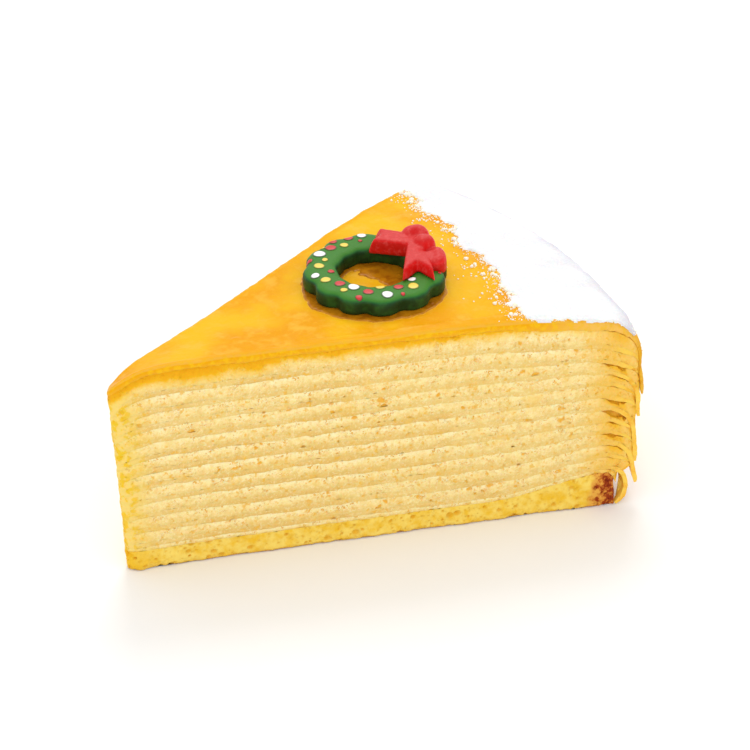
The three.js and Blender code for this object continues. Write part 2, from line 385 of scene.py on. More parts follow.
def finish_piece(piece, material, nodes=(), angle=50):
    """Turns the faces outwards, shades them, and gives the piece its place in the record."""
    deselect_all()
    piece.select_set(True)
    bpy.context.view_layer.objects.active = piece
    bpy.ops.object.mode_set(mode="EDIT")
    bpy.ops.mesh.select_all(action="SELECT")
    bpy.ops.mesh.normals_make_consistent(inside=False)
    bpy.ops.object.mode_set(mode="OBJECT")
    bpy.ops.object.shade_smooth_by_angle(angle=math.radians(angle))
    piece.data.materials.clear()
    piece.data.materials.append(material)
    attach(piece, "root")
    if nodes:
        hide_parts(*nodes)
    return piece


def tag(piece, name, values):
    """Stores a number from 0 to 1 at every point, for the finish to read."""
    layer = piece.data.attributes.new(name, "FLOAT", "POINT")
    layer.data.foreach_set("value", np.asarray(values, dtype=np.float32))


# ---------------------------------------------------------------- the knife's marks
def outward(r, a, on_nose):
    """Which way is out, in plan, at the cut faces and round the nose."""
    side = np.where(a < 0, -1.0, 1.0)
    out = np.stack([-side * np.sin(a), side * np.cos(a)], axis=-1)
    centre = np.stack([r * np.cos(a) - NOSE_CENTRE, r * np.sin(a)], axis=-1)
    length = np.maximum(1e-6, np.linalg.norm(centre, axis=-1, keepdims=True))
    return np.where(on_nose[:, None], centre / length, out)


def knife_mark(r, side):
    """1 along the lines where the knife dragged, on the front cut."""
    marks = sum(np.exp(-(((r - mark) / 1.3) ** 2)) for mark in KNIFE_MARKS)
    return np.clip(marks, 0, 1) * np.where(side < 0, 1.0, 0.6)


def band_profile(p):
    """How proud a layer stands, from its top (p 0) to the underside of its crepe (p 1)."""
    rise = np.sin(np.clip(p / BAND_CREST, 0, 1) * math.pi / 2)
    fall = 1 - smooth(BAND_CREST, 1.15, p) * 0.95
    return rise * fall


def face_rough(x, z):
    """The unevenness that runs over a whole cut face."""
    return (0.13 * lumps(x, 0, z, 1.5, 41) + 0.09 * lumps(x, 0, z, 0.62, 42)
            + 0.16 * lumps(x, 0, z, 11.0, 43))


def smear(x, z):
    """1 where the knife has smeared the cream over the edges of the layers."""
    return smooth(-0.25, 0.5, lumps(x * 0.8, 0, z, 9.0, 48) + 0.3 * lumps(x, 0, z, 3.0, 49)
                  + 0.25 * smooth(30, 60, x % 300) + 0.6 * smooth(94, 104, x % 300))


def cut_relief(r, z, p, side, layer, airy):
    """Relief of a cut face in millimetres and how deep into a bubble each point is."""
    near_nose = 1 - smooth(4, 12, r)
    level = layer + 40.0 * (side > 0)
    x = r + 300.0 * (side > 0)
    proud = BAND_BULGE * band_profile(p) * (1 - 0.6 * near_nose) * (1 - 0.55 * smear(x, z))
    cluster = smooth(-0.3, 0.6, lumps(x, 0, z * 2.2, 6.5, 44))
    marks = knife_mark(r, side)
    upper = 1 - smooth(0.3, 0.7, p)
    bent_x = x + 0.3 * lumps(x, 0, z, 0.8, 45) + 0.5 * lumps(x, 0, z, 2.0, 46)
    bent_z = z + 0.22 * lumps(x, 0, z, 0.8, 47)
    small = bubbles(bent_x, bent_z, level, 0.8,
                    airy * (0.1 + 0.55 * cluster * upper + 0.4 * marks * upper), 51)
    large = bubbles(bent_x, bent_z, level, 1.7, airy * (0.03 + 0.08 * cluster + 0.4 * marks), 55)
    pit = np.maximum(0.6 * small, large)
    return proud + face_rough(x, z) - 0.19 * small - 0.33 * large, pit


def push_cut(points, r, a, column, relief, hold=1.0):
    """Moves the points of a slab out by its relief, fading towards the middle of the slice."""
    on_nose = column < 0.02
    out = outward(r, a, on_nose)
    share = np.where(on_nose, 1.0, np.abs(a / HALF_ANGLE) ** hold)
    room = 0.3 * r * HALF_ANGLE
    limited = np.clip(relief, -room, 0.8)
    points[:, :2] += out * (share * limited)[:, None]
    return points


# ---------------------------------------------------------------- finishes
def colour(red, green, blue):
    """A screen colour, 0 to 255, as the linear one a shader takes."""
    def linear(c):
        c /= 255
        return c / 12.92 if c <= 0.04045 else ((c + 0.055) / 1.055) ** 2.4
    return (linear(red), linear(green), linear(blue), 1.0)


class Finish:
    """A material and the few nodes that its recipe is written with."""

    def __init__(self, name, roughness, **shader):
        self.material = bpy.data.materials.new(name)
        self.material.use_nodes = True
        self.tree = self.material.node_tree
        self.shader = self.tree.nodes["Principled BSDF"]
        self.shader.inputs["Roughness"].default_value = roughness
        for socket, value in shader.items():
            self.shader.inputs[socket.replace("_", " ")].default_value = value
        self.place = self.tree.nodes.new("ShaderNodeTexCoord").outputs["Object"]

    def node(self, kind, settings=None, **inputs):
        node = self.tree.nodes.new(kind)
        for name, value in (settings or {}).items():
            setattr(node, name, value)
        for name, value in inputs.items():
            socket = node.inputs[name.replace("_", " ")]
            if isinstance(value, bpy.types.NodeSocket):
                self.tree.links.new(value, socket)
            else:
                socket.default_value = value
        return node

    def noise(self, size, detail=3.0, roughness=0.55, stretch=None):
        """Random lumps of that size in millimetres."""
        where = self.place
        if stretch:
            where = self.node("ShaderNodeMapping", Vector=where, Scale=stretch).outputs[0]
        return self.node("ShaderNodeTexNoise", Vector=where, Scale=1 / (size * MM),
                         Detail=detail, Roughness=roughness).outputs["Fac"]

    def tag(self, name):
        return self.node("ShaderNodeAttribute", {"attribute_name": name}).outputs["Fac"]

    def ramp(self, value, *stops):
        node = self.node("ShaderNodeValToRGB", Fac=value)
        elements = node.color_ramp.elements
        while len(elements) < len(stops):
            elements.new(0.5)
        for element, (at, paint) in zip(elements, stops):
            element.position = at
            element.color = paint if isinstance(paint, tuple) else (paint, paint, paint, 1)
        return node.outputs["Color"]

    def level(self, value, low, high, to_low=0.0, to_high=1.0):
        node = self.node("ShaderNodeMapRange", {"interpolation_type": "SMOOTHSTEP"})
        self.tree.links.new(value, node.inputs["Value"])
        for socket, number in zip(("From Min", "From Max", "To Min", "To Max"),
                                  (low, high, to_low, to_high)):
            node.inputs[socket].default_value = number
        return node.outputs["Result"]

    def math(self, operation, first, second):
        node = self.tree.nodes.new("ShaderNodeMath")
        node.operation = operation
        for socket, value in zip(node.inputs, (first, second)):
            if isinstance(value, bpy.types.NodeSocket):
                self.tree.links.new(value, socket)
            else:
                socket.default_value = value
        return node.outputs[0]

    def mix(self, share, under, over, blend="MIX"):
        node = self.tree.nodes.new("ShaderNodeMix")
        node.data_type = "RGBA"
        node.blend_type = blend
        for socket, value in ((node.inputs["Factor"], share), (node.inputs[6], under),
                              (node.inputs[7], over)):
            if isinstance(value, bpy.types.NodeSocket):
                self.tree.links.new(value, socket)
            else:
                socket.default_value = value
        return node.outputs[2]

    def paint(self, paint):
        self.tree.links.new(paint, self.shader.inputs["Base Color"])

    def rough(self, value):
        self.tree.links.new(value, self.shader.inputs["Roughness"])

    def bump(self, height, depth):
        """Fine relief, that many millimetres deep."""
        node = self.node("ShaderNodeBump", Height=height, Distance=depth * MM)
        node.inputs["Strength"].default_value = 1.0
        self.tree.links.new(node.outputs["Normal"], self.shader.inputs["Normal"])


def crumb_bump(finish, grain, depth):
    fine = finish.noise(grain, 4.0, 0.65)
    finish.bump(fine, depth)


def stain(finish, paint):
    """The yellow of the nose and rim, the painted shade inside the hollows at the rim, and the glaze that
    has run down a cut face.
    """
    nose = finish.tag("nose")
    blotch = finish.level(finish.noise(1.8, 3.0), 0.45, 0.58)
    nose_paint = finish.mix(blotch, colour(244, 210, 112), colour(240, 194, 34))
    paint = finish.mix(nose, paint, nose_paint)
    # rimward carries the deeper yellow near the rim and the painted shade inside the hollows the knife
    # opened
    paint = finish.mix(finish.tag("rimward"), paint, colour(240, 184, 46))
    soak = finish.tag("soak")
    ragged = finish.math("MULTIPLY", finish.math("SUBTRACT", finish.noise(0.9, 4.0, 0.7), 0.5), 0.5)
    soak = finish.math("ADD", soak, finish.math("MULTIPLY", ragged, finish.level(soak, 0.0, 0.3)))
    deep = finish.ramp(soak, (0.0, colour(248, 216, 116)), (0.35, colour(246, 200, 64)),
                       (0.7, colour(240, 180, 16)), (1.0, colour(234, 164, 0)))
    share = finish.node("ShaderNodeMapRange", {"clamp": True}, Value=soak)
    share.inputs["From Max"].default_value = 0.7
    return finish.mix(share.outputs["Result"], paint, deep)


def cut_paint(finish, stops):
    """The colours of a layer from its pale top edge to the tan underside of its crepe. The tan of the crepe
    is its own colour, and the fade from pale to tan down each band is partly painted shade below the proud
    top of the band. Clusters of fine bubbles are cut open in the upper part, with painted shade in their
    hollows and painted highlight on their rims."""
    band = finish.tag("band")
    ragged = finish.math("MULTIPLY", finish.math("SUBTRACT", finish.noise(1.7, 5.0, 0.65), 0.5), 0.9)
    # pale top to tan underside: the crepe's own tan, with painted shade darkening each band downwards
    paint = finish.ramp(finish.math("ADD", band, ragged), *stops)
    grain = finish.level(finish.noise(0.7, 3.0, 0.6), 0.46, 0.7)
    paint = finish.mix(finish.math("MULTIPLY", grain, 0.4), paint, colour(230, 188, 98))
    fleck = finish.level(finish.noise(0.5, 2.0), 0.5, 0.7)
    paint = finish.mix(finish.math("MULTIPLY", fleck, 0.45), paint, colour(252, 236, 184))
    spots = finish.level(finish.noise(1.2, 2.0, 0.6), 0.58, 0.68)
    paint = finish.mix(finish.math("MULTIPLY", spots, 0.7), paint, colour(234, 176, 44))
    blotch = finish.level(finish.noise(4.5, 3.0, 0.6), 0.54, 0.68)
    paint = finish.mix(finish.math("MULTIPLY", blotch, 0.35), paint, colour(240, 192, 78))
    # painted shade: the cut bubbles are painted deeper orange the deeper into them a point lies
    pit = finish.level(finish.tag("pit"), 0.1, 0.9)
    paint = finish.mix(finish.math("MULTIPLY", pit, 0.85), paint, colour(238, 172, 30))
    holes, rims = fine_bubbles(finish, band)
    # painted highlight on the rims of the fine bubbles, then painted shade in their hollows
    paint = finish.mix(finish.math("MULTIPLY", rims, 0.7), paint, colour(253, 240, 194))
    paint = finish.mix(finish.math("MULTIPLY", holes, 0.9), paint, colour(232, 168, 34))
    finish.bump(finish.math("SUBTRACT", finish.math("MULTIPLY", finish.noise(0.5, 4.0, 0.65), 0.6),
                            finish.math("MULTIPLY", holes, 0.7)), 0.1)
    return stain(finish, paint)


def fine_bubbles(finish, band):
    """1 in the finest cut bubbles and 1 on their pale rims: they lie in clusters, mostly near the top of
    each band. The hollows are painted darker as painted shade and the rims paler as painted highlight."""
    curd = finish.noise(0.62, 1.5, 0.6)
    cluster = finish.level(finish.noise(3.2, 3.0), 0.45, 0.6)
    upper = finish.level(band, 0.52, 0.2, 0.3, 1.0)
    here = finish.math("MULTIPLY", cluster, upper)
    hole = finish.level(curd, 0.565, 0.63)
    rim = finish.level(curd, 0.5, 0.56)
    return finish.math("MULTIPLY", hole, here), finish.math("MULTIPLY", rim, here)


def cream_finish():
    finish = Finish("custard_cream", 0.55, Subsurface_Weight=0.15, Subsurface_Scale=1.2 * MM,
                    Specular_IOR_Level=0.15)
    # the ramp down a band of cream runs from its pale top into painted shade towards the crepe below
    finish.paint(cut_paint(finish, (
        (0.0, colour(252, 235, 180)), (0.26, colour(248, 223, 152)),
        (0.5, colour(237, 203, 124)), (1.0, colour(228, 188, 104)))))
    return finish.material


def crepe_finish():
    finish = Finish("soft_crepe", 0.5, Subsurface_Weight=0.12, Subsurface_Scale=1.0 * MM,
                    Specular_IOR_Level=0.2)
    # the ramp down a crepe darkens towards its underside: its own tan and painted shade
    inner = cut_paint(finish, (
        (0.0, colour(245, 217, 143)), (0.5, colour(236, 202, 122)),
        (0.85, colour(228, 188, 104)), (1.0, colour(224, 180, 92))))
    browned = finish.level(finish.noise(3.5, 4.0), 0.42, 0.72)
    skin = finish.mix(browned, colour(248, 204, 80), colour(240, 178, 44))
    finish.paint(finish.mix(finish.tag("rim"), inner, skin))
    return finish.material


def glaze_finish():
    finish = Finish("baked_glaze", 0.34, Subsurface_Weight=0.05, Subsurface_Scale=1.0 * MM,
                    Specular_IOR_Level=0.05)
    # the cloud and mottle are partly the glaze's own uneven colour and partly painted reflection: the paler
    # patches stand for the sheen of the glossy top
    cloud = finish.level(finish.noise(16.0, 3.0, 0.5), 0.38, 0.62)
    paint = finish.mix(cloud, colour(236, 180, 22), colour(228, 154, 0))
    mottle = finish.level(finish.noise(4.0, 4.0, 0.6), 0.46, 0.72)
    paint = finish.mix(finish.math("MULTIPLY", mottle, 0.5), paint, colour(240, 192, 74))
    fleck = finish.level(finish.noise(1.0, 3.0, 0.6), 0.56, 0.7)
    paint = finish.mix(finish.math("MULTIPLY", fleck, 0.3), paint, colour(240, 180, 10))
    speck = finish.level(finish.noise(0.7, 3.0, 0.6), 0.4, 0.62)
    damp = finish.math("MULTIPLY", finish.tag("damp"), speck)
    paint = finish.mix(finish.math("MULTIPLY", damp, 0.9), paint, colour(208, 124, 32))
    # painted shade: darker orange along the rounded crease and in the groove just inside it
    paint = finish.mix(finish.tag("crease"), paint, colour(230, 162, 0))
    inside = finish.mix(finish.level(finish.noise(1.2, 4.0, 0.6), 0.42, 0.64),
                        colour(244, 206, 118), colour(232, 182, 80))
    paint = finish.mix(finish.tag("side"), paint, inside)
    fold = finish.mix(finish.level(finish.noise(1.2, 4.0, 0.6), 0.42, 0.64), colour(236, 166, 0),
                      colour(242, 186, 18))
    paint = finish.mix(finish.tag("soak"), paint, fold)
    skirt = finish.mix(finish.level(finish.noise(5.0, 4.0), 0.4, 0.7),
                       colour(232, 178, 48), colour(220, 156, 24))
    finish.paint(finish.mix(finish.tag("rim"), paint, skirt))
    finish.rough(finish.level(finish.noise(3.0, 2.0), 0.3, 0.7, 0.28, 0.42))
    swell = finish.math("ADD", finish.noise(5.0, 2.0, 0.5),
                        finish.math("MULTIPLY", finish.noise(1.1, 3.0, 0.6), 0.2))
    finish.bump(swell, 0.3)
    return finish.material


def sponge_finish():
    finish = Finish("sponge_crumb", 0.8, Specular_IOR_Level=0.15)
    mottle = finish.level(finish.noise(2.6, 4.0, 0.6), 0.36, 0.68)
    paint = finish.mix(mottle, colour(246, 215, 104), colour(238, 190, 46))
    # painted shade: the pores of the sponge are painted deeper orange the deeper into them a point lies
    pit = finish.level(finish.tag("pit"), 0.1, 0.9)
    paint = finish.mix(finish.math("MULTIPLY", pit, 0.7), paint, colour(230, 172, 36))
    nose = finish.tag("nose")
    paint = finish.mix(finish.math("MULTIPLY", nose, 0.9), paint, colour(238, 188, 34))
    foot = finish.tag("foot")
    paint = finish.mix(finish.math("MULTIPLY", foot, 0.5), paint, colour(222, 172, 66))
    patch = finish.math("ADD", finish.noise(1.3, 5.0, 0.7),
                        finish.math("MULTIPLY", finish.math("SUBTRACT", finish.tag("crust"), 1.0), -0.35))
    baked = finish.ramp(patch, (0.36, colour(104, 22, 2)), (0.5, colour(158, 62, 14)),
                        (0.58, colour(206, 128, 46)), (0.7, colour(230, 170, 70)))
    finish.paint(finish.mix(finish.level(finish.tag("crust"), 0.0, 0.4), paint, baked))
    crumb_bump(finish, 0.7, 0.12)
    return finish.material


# ---------------------------------------------------------------- layers
CUT_COLUMNS = 52
CREAM_REACH = 7.0  # the length over which the unevenness of the filled fold is laid out
CREAM_RIM_COLUMNS = 12
# how deep the hollow is that the knife has opened over each spread of cream at the rim
POCKETS = {1: 0.2, 2: 0.3, 3: 0.7, 4: 1.4, 5: 0.5, 6: 1.9, 7: 1.6, 8: 0.2, 9: 0.4, 10: 2.0,
           11: 0.15, 12: 0.5}


def nose_tag(r, z, a):
    """1 at the tip of the slice, 0 from a few millimetres behind it."""
    ragged = 1.1 * lumps(r, a, z, 2.5, 61)
    return 1 - smooth(3.6, 10.5, r + ragged)


def rim_lumps(arc, z, side):
    """The coarse lumps that the layers are squeezed into at the rim end of a cut."""
    return (0.52 * lumps(arc, 0, z + 90 * side, 3.2, 66) + 0.3 * lumps(arc, 0, z + 90 * side, 1.3, 67)
            ) * smooth(98, 107, arc)


def smeared_band(p, arc, z, side):
    """The place in a layer from its top to its underside, evened out where it is smeared."""
    x = arc + 300.0 * (side > 0)
    return p + (0.34 - p) * 0.6 * smear(x, z)


def rimward_tag(arc, z):
    """The deeper yellow of everything near the rim."""
    return 0.68 * smooth(97, 106, arc + 2.0 * lumps(arc, 0, z, 3.0, 64))


def rim_fade(r):
    """1 over most of the slice and less near the rim, where little glaze has run down."""
    return 1 - 0.5 * smooth(88, 103, r)


def soak_tag(r, a, z):
    """How far the glaze has coloured a cut face: 1 at the top, 0 where it has faded."""
    side = np.where(a < 0, 0.0, 300.0)
    below = top_of(r, a) - z
    run = (0.5 * lumps(r + side, 0, z * 0.4, 5.0, 62) + 0.4 * lumps(r + side, 0, z, 1.6, 63)
           + 0.25 * lumps(r + side, 0, z, 0.7, 65))
    drip = 1.0 * np.exp(-(((r - 22) / 9.0) ** 2))
    depth = SOAK_DEPTH + drip - 0.01 * np.maximum(r - 30, 0)
    return (1 - smooth(0.4 * depth, 1.85 * depth, below + run)) * rim_fade(r)


def cream_layer(k, material):
    """One spread of cream. Past its full edge it fills the fold between two crepes, but for
    a hollow that the knife has opened at each cut."""
    columns = CUT_COLUMNS + CREAM_RIM_COLUMNS
    slab = spun_slab(numbered("cream_spread", k), columns, 1, 40)
    split_outer_faces(slab, columns, 3 if k == 1 else 10)
    column, a, v = slab_coordinates(slab, columns)
    start = nose_start(a)
    r = start + (CREAM_RADIUS - start) * np.clip(column / CUT_COLUMNS, 0, 1)
    share = np.clip((column - CUT_COLUMNS) / CREAM_RIM_COLUMNS, 0, 1)
    past = share > 0
    along = np.where(past, CREAM_RADIUS + share * CREAM_REACH, r)
    from_cut = (HALF_ANGLE - np.abs(a)) * r
    opened = smooth(-2.0, 2.5, along - CREAM_RADIUS) * (1 - smooth(0.35, 1.7, from_cut))
    opened = opened * (1 - smooth(0.3, 0.62, share + 0.12 * lumps(along, k * 9.0, 0, 1.6, 73)))
    ragged = (0.8 + 0.5 * lumps(along, k * 9.0, a * 60, 1.8, 71)
              + 0.3 * lumps(along, k * 9.0, 0, 0.7, 72))
    hollow = POCKETS[k] * opened * ragged
    low = face_height(2 * k - 2, r, a)
    high = face_height(2 * k - 1, r, a)
    if k > 1:
        low_r, low_z = crepe_skin(k - 1, a, share * end_of(k - 1, a), 1)
        high_r, high_z = crepe_skin(k, a, share * end_of(k, a), -1)
    else:
        low_r = CREAM_RADIUS + share * (SPONGE_RADIUS - CREAM_RADIUS)
        low_z = sponge_top(np.full(len(r), CREAM_RADIUS)) * (1 - 0.35 * share**2) + 0.02
        high_r, high_z = crepe_skin(k, a, share * 3.2, -1)
    if k > 2 and k - 1 not in COVERS:
        low_r = to_cover(k - 1, a, low_r, low_z, share)
    if k > 1 and k not in COVERS:
        high_r = to_cover(k, a, high_r, high_z, share)
    height = np.where(past, np.hypot(high_r - low_r, high_z - low_z), high - low)
    kept = v * (1 - np.clip(hollow / np.maximum(height, 0.2), 0, 0.92))
    z = np.where(past, low_z + (high_z - low_z) * kept, low + (high - low) * kept)
    r = np.where(past, low_r + (high_r - low_r) * kept, r)
    points = place(r, a, z)
    side = np.where(a < 0, -1.0, 1.0)
    p = (1 - v) * 0.62
    relief, pit = cut_relief(along, z, p, side, k, 1.0)
    relief = relief + rim_lumps(along, z, side) - 0.3 * opened * v * min(1.0, POCKETS[k])
    move_points(slab, push_cut(points, r, a, column, relief) * MM)
    tag(slab, "band", smeared_band(p, along, z, side))
    tag(slab, "pit", pit)
    tag(slab, "nose", nose_tag(r, z, a))
    # painted shade: inside the hollows the knife opened, the cream is painted deeper yellow
    deeper = 0.9 * opened * v * min(1.0, POCKETS[k])
    tag(slab, "rimward", np.minimum(1, rimward_tag(along, z) + deeper + 0.4 * smooth(0.7, 1, share)))
    tag(slab, "soak", soak_tag(r, a, z) if k >= 11 else np.zeros(len(r)))
    return finish_piece(slab, material, [numbered("cream", k)], 62)


CREPE_COLUMNS = 84
DRAPE_COLUMNS = 16


def crepe_layer(k, material):
    """One crepe, from the nose to its torn edge hanging over the rim."""
    columns = CREPE_COLUMNS + DRAPE_COLUMNS
    slab = spun_slab(numbered("crepe_sheet", k), columns, 1, 54)
    split_outer_faces(slab, columns, 4)
    column, a, v = slab_coordinates(slab, columns)
    start = nose_start(a)
    r = start + (CREAM_RADIUS - start) * np.clip(column / CREPE_COLUMNS, 0, 1)
    low = face_height(2 * k - 1, r, a)
    high = face_height(2 * k, r, a)
    z = low + (high - low) * v
    share = np.clip((column - CREPE_COLUMNS) / DRAPE_COLUMNS, 0, 1)
    past = share > 0
    _, _, _, bend = drape(k, a, share)
    s = share * (bend + hang_length(k, a))
    under_r, under_z = crepe_skin(k, a, s, -1)
    over_r, over_z = crepe_skin(k, a, s, 1)
    if k > 1 and k not in COVERS:
        under_r = to_cover(k, a, under_r, under_z, share)
        over_r = to_cover(k, a, over_r, over_z, share)
    r = np.where(past, under_r + (over_r - under_r) * v, r)
    z = np.where(past, under_z + (over_z - under_z) * v, z)
    points = place(r, a, z)
    side = np.where(a < 0, -1.0, 1.0)
    p = 0.62 + (1 - v) * 0.38
    along = np.where(past, CREAM_RADIUS + s, r)
    relief, pit = cut_relief(along, z, p, side, k, 0.25)
    relief = relief + rim_lumps(along, z, side)
    move_points(slab, push_cut(points, r, a, column, relief) * MM)
    tag(slab, "band", smeared_band(p, along, z, side))
    tag(slab, "pit", pit * 0.6)
    tag(slab, "nose", nose_tag(r, z, a))
    tag(slab, "soak", soak_tag(r, a, z) if k == 11 else np.zeros(len(r)))
    tag(slab, "rim", smooth(0.5, 4.0, s * past))
    tag(slab, "rimward", rimward_tag(along, z))
    return finish_piece(slab, material, [numbered("crepe", k)], 62)


TOP_COLUMNS = 150
TOP_DRAPE_COLUMNS = 30
TOP_STEPS = 64


def glaze_swell(r, a):
    """The uneven top of the glaze: long low swells, small bubbles and a crinkled back edge."""
    across = a * r
    swell = 0.16 * lumps(r, across, 0, 9.0, 81) + 0.05 * lumps(r, across, 0, 2.5, 82)
    bump = bubbles(r + 40, across + 80, 3, 3.2, 0.07, 83)
    from_back = (HALF_ANGLE - a) * r
    crinkle = np.exp(-((from_back / 1.6) ** 2)) * 0.28 * (0.4 + lumps(r, 0, 0, 1.3, 84))
    from_front = (HALF_ANGLE + a) * r
    uneven = 0.7 + 0.5 * lumps(r, 0, 0, 4.0, 88) + 0.3 * lumps(r, 0, 0, 1.1, 89)
    ridge = 0.2 * np.exp(-(((from_front - 2.0) / 0.5) ** 2))
    ridge = ridge - 0.16 * np.exp(-(((from_front - 1.1) / 0.4) ** 2))
    return swell + 0.18 * bump + crinkle + ridge * uneven * smooth(30, 42, r)


def crease_rounding(r, a):
    """How far the rounded crease has dropped below the top, and how near the edge is."""
    from_cut = (HALF_ANGLE - np.abs(a)) * r
    from_nose = np.maximum(0, r - nose_start(a))
    from_edge = np.minimum(from_cut, from_nose)
    inside = np.clip(CREASE_RADIUS - from_edge, 0, CREASE_RADIUS)
    return CREASE_RADIUS - np.sqrt(CREASE_RADIUS**2 - inside**2), from_edge


def glaze_skin(arc, a):
    """The glazed surface at a distance along it from the apex: distance, height, slope."""
    k = CREPES
    r = np.minimum(arc, CREAM_RADIUS)
    s = np.maximum(0, arc - CREAM_RADIUS)
    rounding, from_edge = crease_rounding(r, a)
    calm = smooth(0.2, 1.5, from_edge) * (1 - smooth(98, CREAM_RADIUS, r))
    z = face_height(2 * k, r, a) - rounding + glaze_swell(r, a) * calm
    slope = np.arctan(top_of(r - 0.5, a) - top_of(r + 0.5, a))
    _, _, hanging_slope, _ = drape(k, a, s)
    under_r, under_z = crepe_skin(k, a, s, -1)
    over_r, over_z = crepe_skin(k, a, s, 1)
    thick = np.hypot(over_r - under_r, over_z - under_z)
    kept = 1 - np.clip(rounding / np.maximum(thick, 0.5), 0, 0.6)
    past = s > 0
    r = np.where(past, under_r + (over_r - under_r) * kept, r)
    z = np.where(past, under_z + (over_z - under_z) * kept, z)
    return r, z, np.where(past, hanging_slope, slope)


def top_crepe(material):
    """The last crepe under its glaze: rounded along the cuts and hanging over the rim."""
    columns = TOP_COLUMNS + TOP_DRAPE_COLUMNS
    k = CREPES
    slab = spun_slab("glazed_top", columns, 3, TOP_STEPS)
    split_outer_faces(slab, columns, 2)
    column, a, v = slab_coordinates(slab, columns)
    start = nose_start(a)
    r = start + (CREAM_RADIUS - start) * np.clip(column / TOP_COLUMNS, 0, 1) ** 1.5
    share = np.clip((column - TOP_COLUMNS) / TOP_DRAPE_COLUMNS, 0, 1)
    past = share > 0
    _, _, _, bend = drape(k, a, share)
    s = share * (bend + hang_length(k, a))
    arc = np.where(past, CREAM_RADIUS + s, r)
    low = face_height(2 * k - 1, r, a)
    under_r, under_z = crepe_skin(k, a, s, -1)
    over_r, over_z, _ = glaze_skin(arc, a)
    rounding, from_edge = crease_rounding(r, a)
    r = np.where(past, under_r + (over_r - under_r) * v, r)
    z = np.where(past, under_z + (over_z - under_z) * v, low + (over_z - low) * v)
    points = place(r, a, z)
    side = np.where(a < 0, -1.0, 1.0)
    x = arc + 300.0 * (side > 0)
    fold = (0.2 * np.sin(math.pi * np.clip(v, 0, 1)) + 0.08 * v) * smooth(4, 12, r)
    ripple = (0.12 * lumps(arc, z, side * 20.0, 1.6, 85) + 0.16 * lumps(arc, 0, side * 20.0, 6.0, 86))
    relief = face_rough(x, z) + fold + ripple * v + rim_lumps(arc, z, side)
    move_points(slab, push_cut(points, r, a, column, relief, 6.0) * MM)
    on_side = np.minimum(1, rounding / CREASE_RADIUS)
    # the crease tag paints shade along the rounded edge and in the groove beside it
    crease = np.exp(-(((from_edge - 0.5) / 0.7) ** 2)) * (0.65 + 0.35 * lumps(arc, 0, side, 2.0, 87))
    groove_shade = 0.5 * np.exp(-(((from_edge - 1.2) / 0.4) ** 2)) * smooth(30, 42, arc)
    tag(slab, "crease", np.clip(crease + groove_shade, 0, 1) * (1 - 0.4 * smooth(90, 104, arc)))
    tag(slab, "damp", np.exp(-np.abs(sugar_cover(arc, a)) / 1.3))
    tag(slab, "side", np.clip(on_side, 0, 1))
    tag(slab, "soak", np.clip(on_side, 0, 1) * rim_fade(arc) * (0.85 + 0.15 * v))
    tag(slab, "rim", smooth(4.0, 12.0, s * past))
    return finish_piece(slab, material, [numbered("crepe", k)], 70)


SPONGE_RIM_COLUMNS = 6


def sponge_layer(material):
    """The sponge under the stack, with pores on the cuts and a browned round rim."""
    columns = CUT_COLUMNS + SPONGE_RIM_COLUMNS
    slab = spun_slab("sponge_base", columns, 2, 40)
    split_outer_faces(slab, columns, 9)
    column, a, v = slab_coordinates(slab, columns)
    start = nose_start(a)
    r = start + (CREAM_RADIUS - start) * np.clip(column / CUT_COLUMNS, 0, 1)
    share = np.clip((column - CUT_COLUMNS) / SPONGE_RIM_COLUMNS, 0, 1)
    top = face_height(0, r, a)
    middle = 0.42 * top
    swell = np.sqrt(np.clip(1 - share**2, 0, 1))
    high = middle + (top - middle) * np.maximum(0.12, swell)
    low = middle - middle * np.maximum(0.12, swell)
    r = r + share * (SPONGE_RADIUS - CREAM_RADIUS)
    z = np.where(share > 0, low + (high - low) * v, top * v)
    crumb = (0.5 * lumps(r, a * r, z, 1.7, 91) - 0.2) * smooth(0.0, 1.0, share)
    r = r + crumb
    points = place(r, a, z)
    side = np.where(a < 0, -1.0, 1.0)
    x = r + 300.0 * (side > 0)
    small = bubbles(x, z, 70, 0.9, 0.4, 92)
    large = bubbles(x, z, 71, 2.1, 0.3, 93)
    rough = (0.2 * lumps(x, 0, z, 2.0, 94) + 0.12 * lumps(x, 0, z, 0.7, 95)
             + 0.16 * lumps(x, 0, z, 11.0, 43))
    foot = 1 - smooth(0.0, 0.8 + 0.4 * lumps(x, 0, 0, 1.5, 96), z)
    relief = 0.1 + rough - 0.28 * small - 0.5 * large - 0.25 * foot
    points = push_cut(points, r, a, column, relief)
    edge = (np.abs(np.abs(a) - HALF_ANGLE) < 1e-4) | (column < 0.02)
    lift = np.maximum(0, 0.25 * lumps(x, 0, 0, 1.1, 97) + 0.12 * lumps(x, 0, 0, 0.5, 98))
    points[:, 2] = np.where(edge & (v < 0.02), lift, points[:, 2])
    move_points(slab, points * MM)
    baked = smooth(99.8, 104.6, r + 1.4 * lumps(r, a * r, z, 1.8, 99) + 0.8 * (v < 0.02))
    tag(slab, "crust", np.maximum(baked, 0.75 * (z < 0.05) * (1 - edge)))
    tag(slab, "pit", np.maximum(small * 0.7, large))
    tag(slab, "nose", nose_tag(r, z, a))
    tag(slab, "foot", foot)
    return finish_piece(slab, material, ["sponge"], 62)


# ---------------------------------------------------------------- sheets that lie on the glaze
def flat_grid(name, columns, rows):
    deselect_all()
    bpy.ops.mesh.primitive_grid_add(x_subdivisions=columns, y_subdivisions=rows, size=1)
    sheet = bpy.context.object
    sheet.name = sheet.data.name = name
    points = points_of(sheet)
    return sheet, points[:, 0] + 0.5, points[:, 1] + 0.5


